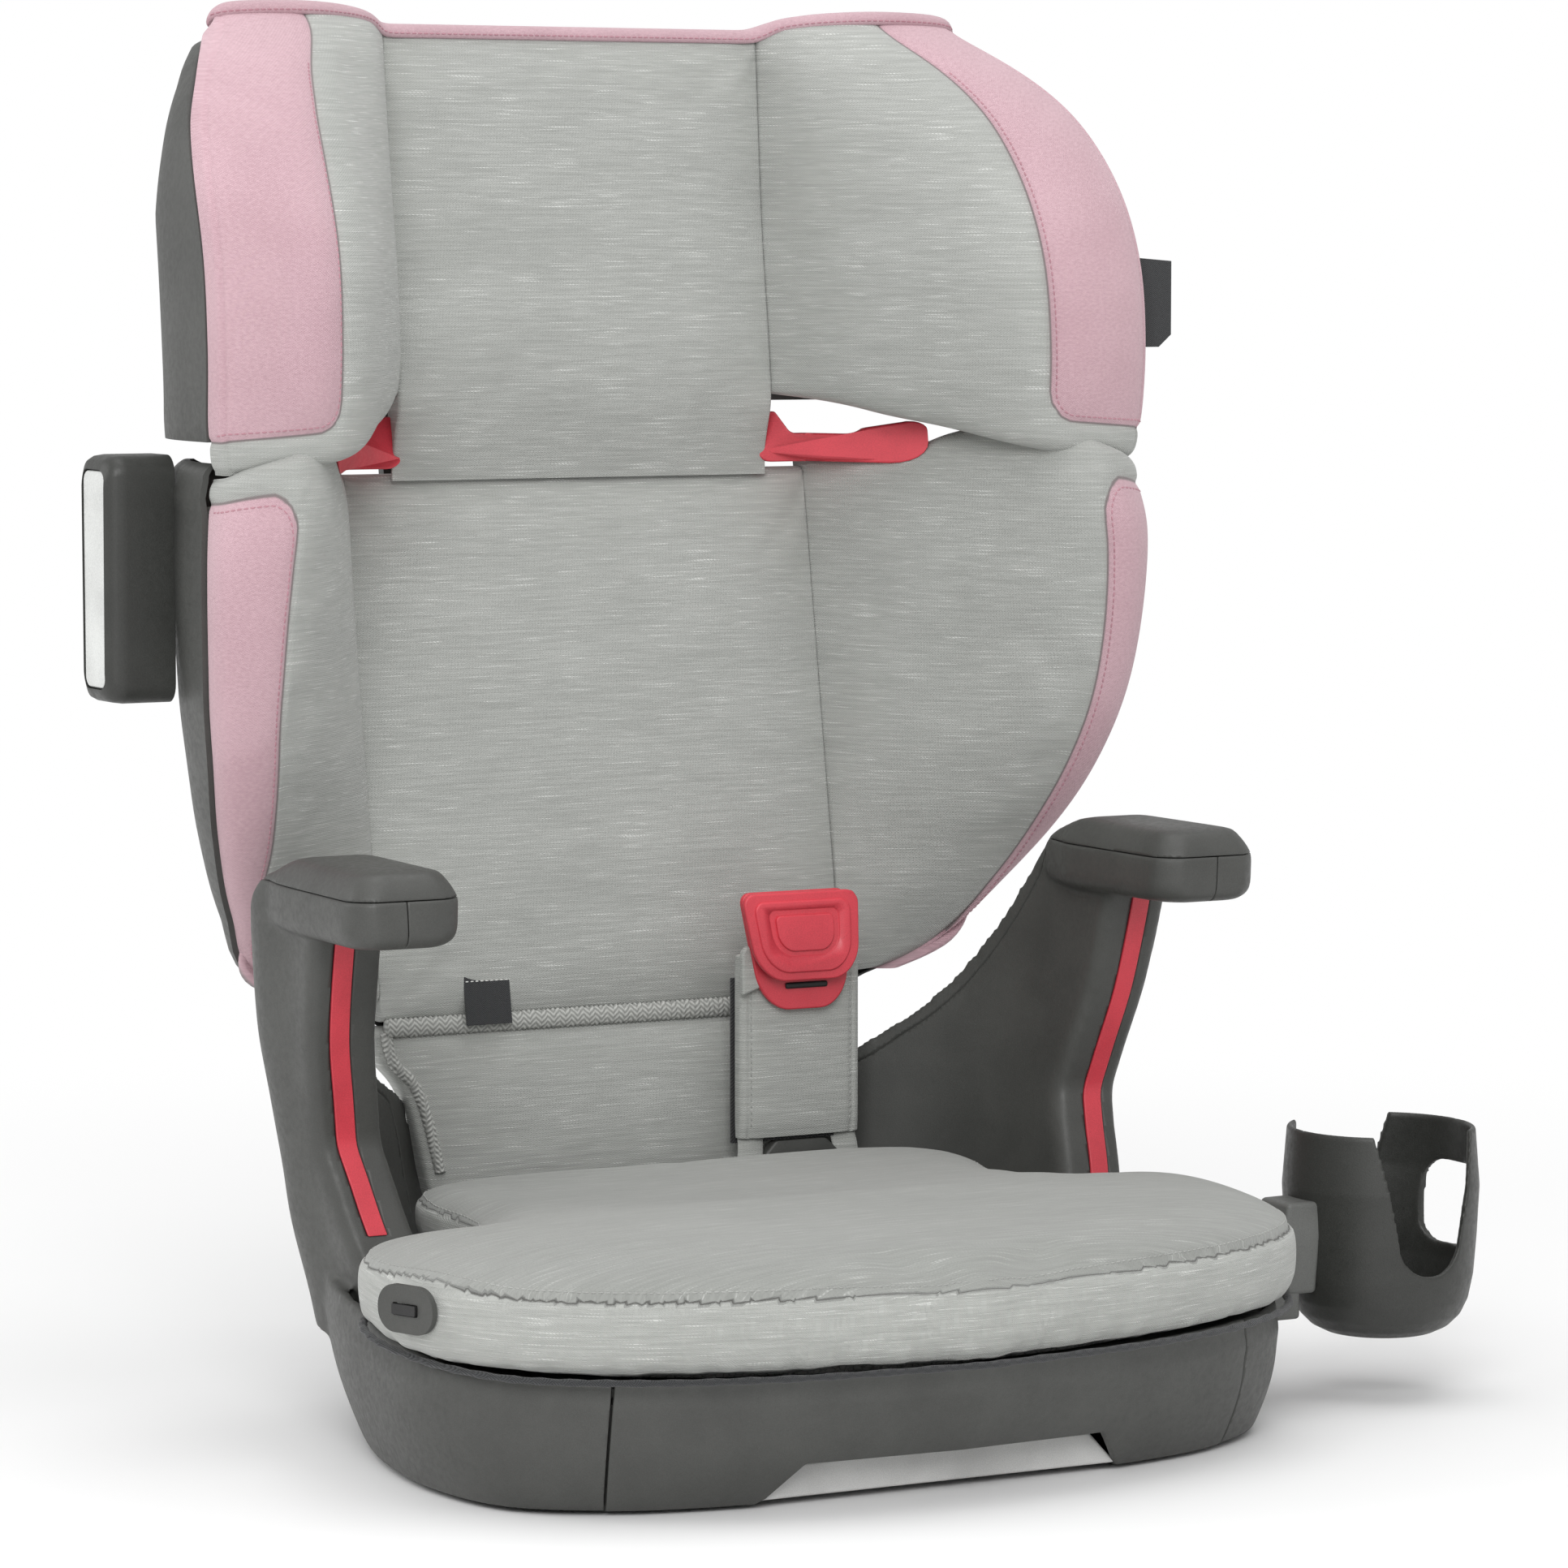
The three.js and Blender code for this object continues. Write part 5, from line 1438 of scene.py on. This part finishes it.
def add_shoulder_guides():
    for side, sign in SIDES:
        low, high = reach("shoulder_guide_" + side)
        inner, outer = min(abs(low[0]), abs(high[0])), GUIDE_OUTER
        foot, top = low[2], high[2]
        sill, rise = foot + 14, high[2] - 4
        base_line = [(x, foot) for x in np.linspace(inner + 14, outer - 16, 14)]
        outline = arc((inner + 9, foot + 9), 9, 180, 270) + base_line
        outline += arc((outer - 11, foot + 11), 11, 270, 360)
        outline += arc((outer - 4, rise - 4), 4, 0, 120)
        outline += arc((outer - 22, sill + 6), 6, 330, 270)
        outline += [(x, sill) for x in np.linspace(outer - 25, inner + 27, 10)]
        outline += arc((inner + 24, sill + 6), 6, 270, 210)
        outline += [(inner + 13, top), (inner, top)]
        path, _ = back_wing_skin(np.full(60, float(SHELL_TOP)), np.linspace(0, 0.6, 60))
        path_x, path_y = np.r_[0, path[:, 0]], np.r_[path[0, 1], path[:, 1]]

        def place(x, y, z):
            return sign * x, np.interp(x, path_x, path_y) - GUIDE_THICK + y + (z - SHELL_TOP) * LEAN, z

        guide = extruded("shoulder_belt_guide_" + side, outline, GUIDE_THICK, place, red_plastic, 1.4)
        settle(guide, "headrest", ["shoulder_guide_" + side], "red_plastic")


def add_tags():
    low, high = reach("headrest_side_tag")
    outline = [(low[0] - 6, low[2]), (high[0] - 7, low[2]), (high[0], low[2] + 6),
               (high[0], high[2] - 2), (low[0] - 6, high[2])]
    tag = extruded("headrest_tag", outline, 1.0, lambda x, y, z: (x, low[1] + y, z), black_tape, 0.25)
    settle(tag, "headrest", ["headrest_side_tag"], "black_fabric")


# ---------------------------------------------------------------- lower back trim
def add_lower_back_trim():
    """The ribbed binding under the back's fabric, a short upright length, and the sewn tag."""
    z = BACK_LOW - 1
    x = np.linspace(-CENTRE_HALF + 2, CENTRE_HALF - 2, 120)
    path = np.stack([x, back_face(np.full(120, z)) + 1.5, np.full(120, z)], -1)
    binding("back_binding", path, 4.6, 2.6)
    low, high = reach("lower_back_pad")
    heights = np.linspace(low[2] + 4, high[2] - 1, 50)
    for side, sign in SIDES:
        path = np.stack([sign * (lower_half(heights) - 7), back_face(heights) + 3, heights], -1)
        binding("lower_back_binding_" + side, path, 2.8, 2.4)
    low, high = reach("back_tag")
    outline = [(low[0], low[2]), (high[0], low[2]), (high[0], high[2]), (low[0], high[2])]
    mid = (low[2] + high[2]) / 2

    def place(x, y, z):
        return x, back_face(z) - 5.2 + y + 0.012 * (z - mid) ** 2 * 0.4, z

    tag = extruded("back_tag_cover", outline, 1.2, place, black_tape, 0.3)
    settle(tag, "backrest", ["back_tag"], "black_fabric")
    line = [place(x, 0, high[2] - 3) for x in np.linspace(low[0] - 1, high[0] + 3, 20)]
    stitches("back_tag_stitching", line, skin_tree(tag), white_thread, "backrest", pitch=2.6,
             length=1.7, radius=0.3, slot="black_fabric")


def binding(name, path, half_wide, half_thick):
    """A ribbed fabric binding: a flattened roll along a path, pinched at every rib."""
    out = np.array([0, -1.0, 0])
    side = np.cross(unit(np.gradient(path, axis=0)), out)
    walked = run_length(path, 0)
    fine = np.linspace(0, walked[-1], int(walked[-1] / 0.55))
    centre = points_at(fine, walked, path)
    side = points_at(fine, walked, side)
    rib = 1 + 0.09 * np.cos(fine * 2 * math.pi / 2.6)
    rings = np.stack([centre + side * (half_wide * rib * math.cos(a))[:, None]
                      + out * (half_thick * rib * math.sin(a))[:, None] for a in full_turn(14)], 1)
    piece = make(name, *tube(rings), grey_tape)
    settle(piece, "backrest", slot="grey_fabric")


# ---------------------------------------------------------------- belt strap and clip
def add_belt_strap():
    low, high = reach("strap_sleeve")
    x_mid, y_mid = (low[0] + high[0]) / 2, (low[1] + high[1]) / 2
    half = (high[0] - low[0]) / 2
    rows = low[2] + ladder(high[2] - low[2], 3.2)
    angle = full_turn(72)
    pulled_in = np.exp(-((rows - rows[0]) / 5) ** 2) + np.exp(-((rows[-1] - rows) / 5) ** 2)
    fullness = 5.8 - 1.4 * pulled_in
    rings = []
    for z, full in zip(rows, fullness):
        c, s = np.cos(angle), np.sin(angle)
        x = x_mid + half * np.sign(c) * np.abs(c) ** 0.35
        y = y_mid + full * np.sign(s) * np.abs(s) ** 0.6
        pinch = 1.1 * np.exp(-((np.abs(x - x_mid) - half + 5) / 1.2) ** 2)
        y -= np.sign(s) * pinch
        rings.append(np.stack([x, y, np.full(72, z)], -1))
    rings = np.array(rings)
    sleeve = make("strap_sleeve_cover", *tube(rings), grey_fabric)
    set_weave(sleeve, np.stack([rings[..., 0], rings[..., 2]], -1).reshape(-1, 2))
    modifier(sleeve, "SUBSURF", levels=1, render_levels=1)
    settle(sleeve, "belt_strap", ["strap_sleeve"], "grey_fabric")
    tree = skin_tree(sleeve)
    front = y_mid - 6
    for name, shift in (("left", -half + 5), ("right", half - 5)):
        line = [(x_mid + shift, front, z) for z in np.linspace(low[2] + 4, high[2] - 4, 30)]
        stitches("strap_stitching_" + name, line, tree, grey_thread, "belt_strap", slot="grey_fabric")
    for sign in (-1, 1):
        strap_loop(x_mid + sign * (half - 8), y_mid, low[2], sign)
    edge = x_mid - half
    fold = [(edge - 1.5, high[2] + 2), (edge + 1, high[2] + 5), (x_mid - 6, high[2] + 5),
            (x_mid - 12, high[2] - 11), (edge - 1.5, high[2] - 19)]
    cuff = extruded("strap_cuff", fold, 4.0, lambda x, y, z: (x, y_mid - 9.5 + y, z), grey_fabric, 1.2)
    settle(applied(cuff), "belt_strap", slot="grey_fabric")
    flat_weave(cuff)
    backing = [(edge + 0.5, low[2] - 3), (x_mid + half - 8, low[2] - 3),
               (x_mid + half - 8, high[2] - 12), (edge + 0.5, high[2] - 12)]
    tape = extruded("strap_backing", backing, 1.8, lambda x, y, z: (x, y_mid + 6.5 + y, z),
                    black_webbing, 0.5)
    settle(tape, "belt_strap", slot="black_fabric")


def flat_weave(piece):
    """Fabric coordinates straight from the front."""
    set_weave(piece, coordinates(piece.data)[:, [0, 2]] / MM)


def strap_loop(x, y, top, sign):
    """A short fabric tab that ties the sleeve down beside the stalk."""
    share = np.linspace(0, 1, 24)
    path = np.stack([x + sign * 3 * share, y + 1.5 - 3 * np.sin(share * math.pi),
                     top + 3 - 26 * share], -1)
    rings = np.stack([path + [7 * math.cos(a), 1.6 * math.sin(a), 0] for a in full_turn(16)], 1)
    tab = make("strap_tab_" + ("left" if sign < 0 else "right"), *tube(rings), grey_fabric)
    set_weave(tab, rings[..., [0, 2]].reshape(-1, 2))
    settle(tab, "belt_strap", slot="grey_fabric")


def tongue_outline(half, height, top_corner, low_corner):
    """A tongue shape: small corners at the top and wide ones at the bottom, centred at its top."""
    points = arc((half - top_corner, -top_corner), top_corner, 90, 0)
    points += arc((half - low_corner, -height + low_corner), low_corner, 0, -90, 12)
    points += arc((-half + low_corner, -height + low_corner), low_corner, -90, -180, 12)
    points += arc((-half + top_corner, -top_corner), top_corner, 180, 90)
    return points


def add_belt_clip():
    """The clip: a long tongue behind, and a shorter flap that folds over it from the top."""
    low, high = reach("belt_clip")
    x_mid, top, front = (low[0] + high[0]) / 2, high[2], low[1]
    wide = (high[0] - low[0]) / 2
    parts = []

    def layer(name, half, height, y, thick, top_corner, low_corner, drop=0.0, tilt=0.0, bevel=1.1):
        def place(x, depth, z):
            down = drop - z
            across = x_mid + x * (1 - 0.0035 * down) + down * 0.11 - 3
            return across, y + depth - down * tilt, top - down

        outline = tongue_outline(half, height, top_corner, low_corner)
        return extruded(name, outline, thick, place, red_plastic, bevel, 4)

    parts.append(layer("clip_tongue", wide - 2.5, high[2] - low[2], front + 8, 3.4, 6, 19))
    parts.append(layer("clip_flap", wide, 43, front + 1.4, 3.2, 7, 17, 0, 0.035))
    parts.append(layer("clip_ring", wide - 5, 35, front + 0.4, 3.0, 6, 15, 4, 0.035))
    hollow = layer("clip_hollow", wide - 12, 23, front - 3.6, 4.6, 4, 11, 8, 0.035, 0.6)
    carved(parts[2], applied(hollow))
    bridge = make("clip_fold", *box_solid((x_mid - wide + 3.5, front + 2.5, top - 7),
                                          (x_mid + wide - 3.5, front + 10.5, top - 0.8)), red_plastic)
    bevelled(bridge, 2.6, 4)
    parts.append(bridge)
    parts.append(layer("clip_pad", wide - 15.5, 17.5, front - 0.2, 3.2, 3, 9, 11, 0.035, 0.7))
    # Painted shadow: a black plate fills the gap under the flap's lower lip and stands in for the shade
    # there.
    slot = make("clip_slot", *box_solid((x_mid - 8, front + 6.6, top - 47.6),
                                        (x_mid + 15, front + 8.6, top - 44.6)), black_plastic)
    bevelled(slot, 1.2)
    settle(slot, "belt_strap", slot="black_plastic")
    settle(parts[0], "belt_strap", ["belt_clip"], "red_plastic")
    for part in parts[1:]:
        settle(part, "belt_strap", slot="red_plastic")


# ---------------------------------------------------------------- cup holder
CUP_WALL = 2.8
CUP_HEIGHT = 99.2


def add_cup_holder():
    low, high = reach("cup_holder_cup")
    radius = (high[1] - low[1]) / 2
    x, y, foot = (low[0] + high[0]) / 2, (low[1] + high[1]) / 2, low[2]
    outer = np.array([(0.01, 0), (16, 0), (26, 1.6), (33, 5), (38.5, 10.5), (42, 18), (44.4, 30),
                      (45.8, 48), (47, 72), (radius, CUP_HEIGHT)])
    inner = outer[::-1] - np.array([CUP_WALL, -CUP_WALL])
    inner[0, 1] = CUP_HEIGHT
    inner[-1, 0] = 0.01
    lip = [(radius - 0.4, 99.9), (radius - 1.4, 100.1), (radius - 2.4, 99.9)]
    profile = np.concatenate([outer, lip, inner])
    angles = full_turn(96)
    rings = np.stack([np.stack([x + r * np.cos(angles), y + r * np.sin(angles),
                                np.full(96, foot + h)], -1) for r, h in profile])
    cup = make("cup_holder_bowl", *tube(rings), deep_charcoal)
    slot = [(-29, 112), (-27, 101), (-25, 90), (-17, 50)] + arc((0, 50), 17, 180, 360, 16)
    slot += [(17, 50), (25, 90), (27, 101), (29, 112)]
    window = [(px, pz + 59) for px, pz in rounded_outline(44, 40, 12)]
    for outline, turn in ((slot, 0), (slot, math.pi), (window, math.pi / 2)):
        carved(cup, through_cutter(outline, turn, (x, y, foot), radius + 10))
    remeshed(cup, 1.0, 3)
    settle(cup, "cup_holder", ["cup_holder_cup"], "charcoal_plastic")
    bracket = make("cup_holder_wedge", *wedge_solid(x - radius, y), mid_grey)
    bevelled(bracket, 2.2, 4, angle=25)
    settle(bracket, "cup_holder", ["cup_holder_bracket"], "charcoal_plastic")


def through_cutter(outline, turn, origin, length):
    """A cutter with an (across, up) outline, from the cup's axis outwards in one direction."""
    flat = np.array(outline, float)
    along = np.array([math.sin(turn), -math.cos(turn), 0])
    side = np.array([math.cos(turn), math.sin(turn), 0])
    rings = [np.array(origin) + side * flat[:, :1] + UP * flat[:, 1:] + along * out
             for out in (2, length)]
    return make("cutter", *tube(np.array(rings)), charcoal)


def wedge_solid(cup_side, y):
    """The bracket that tapers from the cup down to its socket on the base."""
    low, high = reach("cup_holder_bracket")
    rings = []
    levels = ((high[2], 236, 3, 12.5), (high[2] - 16, 233, 2.5, 13), (high[2] - 32, 234, 2, 11.5),
              (53, 238, 2, 10))
    for z, inner_x, past_cup, half in levels:
        outer_x = cup_side + past_cup
        rings.append([(inner_x, y - half, z), (outer_x, y - half - 1, z),
                      (outer_x, y + half + 1, z), (inner_x, y + half, z)])
    tongue = box_solid((low[0], y - 10, 41), (245, y + 10, 55))
    return joined(tube(np.array(rings)), tongue)


# ---------------------------------------------------------------- side pod
def add_side_pod():
    low, high = reach("pod_housing")
    mid = (low + high) / 2
    deep, tall = high[1] - low[1], high[2] - low[2]
    rings = []
    for share, tuck in ((0, 5.5), (0.06, 2.2), (0.16, 0.6), (0.3, 0), (1, 0)):
        outline = pod_outline(deep - 2 * tuck, tall - 2 * tuck, 9)
        x = mix(low[0], high[0] + 4, share)
        rings.append([(x, mid[1] + a, mid[2] + b) for a, b in outline])
    housing = make("side_pod_housing", *tube(np.array(rings)), deep_charcoal)

    def place(a, b, x):
        return x, mid[1] + a, mid[2] + b

    inset = prism(pod_outline(deep - 11, tall - 13, 6), place, (low[0] - 3, low[0] + 2.2))
    carved(housing, make("cutter", *inset, charcoal))
    bevelled(housing, 0.9, 3)
    settle(housing, "side_pod", ["pod_housing"], "charcoal_plastic")
    plate = prism(pod_outline(deep - 12.4, tall - 14.4, 5.4), place, (low[0] + 0.6, low[0] + 2.4))
    inlay = make("side_pod_inlay", *plate, inlay_plastic)
    bevelled(inlay, 0.7, 3)
    settle(inlay, "side_pod", ["pod_plate"], "pale_plastic")


def pod_outline(width, height, corner):
    """A rounded rectangle that narrows a little towards its foot."""
    return [(a * (1 - 0.10 * max(0, -b / height)), b) for a, b in rounded_outline(width, height, corner)]


# ---------------------------------------------------------------- CAD nodes that are shown
def finish_cad(node, material, bevel, slot):
    """A CAD node keeps its shape: its edges are rounded and it gets a finished material."""
    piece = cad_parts[node]
    dress(piece, material)
    piece.data.polygons.foreach_set("use_smooth", [True] * len(piece.data.polygons))
    modifier(piece, "WELD", merge_threshold=0.00001)
    bevelled(piece, bevel)


# material, its slot, bevel in millimetres, and the CAD nodes that get them; * is left and right
CAD_FINISHES = (
    (charcoal, "charcoal_plastic", 0.6, ("base_pan", "seat_deck")),
    (charcoal, "charcoal_plastic", 0.7, ("adjuster_bezel",)),
    (charcoal, "charcoal_plastic", 1.0, ("cup_socket",)),
    (charcoal, "charcoal_plastic", 1.6, ("strap_stalk",)),
    (charcoal, "charcoal_plastic", 2.2, ("headrest_release_handle",)),
    (pale_plastic, "pale_plastic", 1.4, ("front_pull_handle",)),
    (black_plastic, "black_plastic", 0.5, ("height_rack",)),
    (black_plastic, "black_plastic", 0.7, ("adjuster_button",)),
    (black_webbing, "black_fabric", 0.4, ("strap_webbing",)),
    (red_plastic, "red_plastic", 0.5, ("latch_button_*",)),
    (rubber, "rubber", 0.6, ("foot_front_*", "foot_rear_*")),
    (steel, "steel", 0.6, ("recline_rod", "headrest_lock_bolt", "recline_bracket_*")),
    (steel, "steel", 0.8, ("recline_frame", "strap_anchor", "headrest_carriage",
                           "latch_connector_*")),
    (foam_beads, "foam", 2.0, ("seat_foam", "back_foam_*", "headrest_foam_*")),
)


def both_sides(name):
    """The CAD nodes that a name stands for."""
    if "*" not in name:
        return [name]
    return [name.replace("*", side) for side, _ in SIDES]


def finish_frame():
    for material, slot, bevel, names in CAD_FINISHES:
        for name in names:
            for node in both_sides(name):
                finish_cad(node, material, bevel, slot)


# ---------------------------------------------------------------- floor, light and camera
def add_stage():
    floor = make("floor", [(-9000, -9000, 0), (9000, -9000, 0), (9000, 9000, 0), (-9000, 9000, 0)],
                 [[0, 1, 2, 3]], studio_floor())
    floor.location.z = -0.0006


def studio_floor():
    """A pale floor that fades into the white backdrop away from the seat."""
    shader = Shader("studio_floor")
    place = shader.object_place()
    cloud = shader.noise(place, 800, 800, 800)
    tone = shader.blend(cloud, (0.86, 0.86, 0.86, 1), (0.9, 0.9, 0.9, 1))
    far = shader.node("VectorMath", {"operation": "LENGTH"})
    shader.feed(far.inputs[0], place)
    glow = shader.ramp(far.outputs["Value"], 380, 1300)
    floor = shader.node("BsdfPrincipled", Base_Color=tone, Roughness=0.75)
    white = shader.node("Emission", Color=(1, 1, 1, 1), Strength=1.0)
    both = shader.tree.nodes.new("ShaderNodeMixShader")
    shader.feed(both.inputs[0], glow)
    shader.feed(both.inputs[1], floor.outputs[0])
    shader.feed(both.inputs[2], white.outputs[0])
    output = shader.node("OutputMaterial")
    shader.feed(output.inputs[0], both.outputs[0])
    return shader.material


def soft_box(name, place, aim, size, power):
    """A square area light at a place, in metres, facing a point."""
    light = bpy.data.lights.new(name, "AREA")
    light.energy = power
    light.size = size
    lamp = bpy.data.objects.new(name, light)
    lamp.location = place
    lamp.rotation_euler = (Vector(aim) - Vector(place)).to_track_quat("-Z", "Y").to_euler()
    bpy.context.scene.collection.objects.link(lamp)


AMBIENT = 0.66
SOFT_BOXES = (         # name, place, height aimed at and width in metres, power in watts
    ("key", (-1.5, -2.6, 1.9), 0.3, 1.6, 56),
    ("top", (0.2, -0.2, 3.0), 0.3, 2.4, 32),
    ("rear_left", (-2.4, 1.2, 1.4), 0.35, 1.2, 18),
)


def add_light():
    bpy.context.scene.view_settings.view_transform = "Standard"
    world = bpy.data.worlds.new("studio")
    world.use_nodes = True
    seen = world.node_tree.nodes.new("ShaderNodeLightPath")
    level = world.node_tree.nodes.new("ShaderNodeMapRange")
    level.inputs["To Min"].default_value = AMBIENT
    level.inputs["To Max"].default_value = 1.0
    backdrop = world.node_tree.nodes["Background"]
    backdrop.inputs[0].default_value = (1, 1, 1, 1)
    world.node_tree.links.new(seen.outputs["Is Camera Ray"], level.inputs["Value"])
    world.node_tree.links.new(level.outputs[0], backdrop.inputs[1])
    bpy.context.scene.world = world
    for name, place, aim_height, size, power in SOFT_BOXES:
        soft_box(name, place, (0, 0, aim_height), size, power)


CAMERA_AZIMUTH = math.radians(28)
CAMERA_DROP = math.radians(5.107)
CAMERA_PLACE = (-1.2975, -2.4955, 0.5476)      # metres


def add_camera():
    camera = bpy.data.cameras.new("camera")
    camera.sensor_width = 36
    camera.lens = 138.9
    camera.clip_end = 60
    view = bpy.data.objects.new("camera", camera)
    view.location = CAMERA_PLACE
    view.rotation_euler = (math.pi / 2 - CAMERA_DROP, 0, -CAMERA_AZIMUTH)
    bpy.context.scene.collection.objects.link(view)
    bpy.context.scene.camera = view


finish_frame()
base_front_panel()
add_arms_and_sides()
add_seat_cushion()
pads, stitch_lines = add_back_and_head_pads()
swell(pads)
for pad in pads:
    modifier(pad, "SUBSURF", levels=1, render_levels=1)
for line_name, line, wing, body in stitch_lines:
    stitches(line_name, line, skin_tree(wing), pink_thread, body, slot="pink_fabric")
add_shells()
headrest_top_band()
add_shoulder_guides()
add_tags()
add_lower_back_trim()
add_belt_strap()
add_belt_clip()
add_cup_holder()
add_side_pod()

add_stage()
add_light()
add_camera()
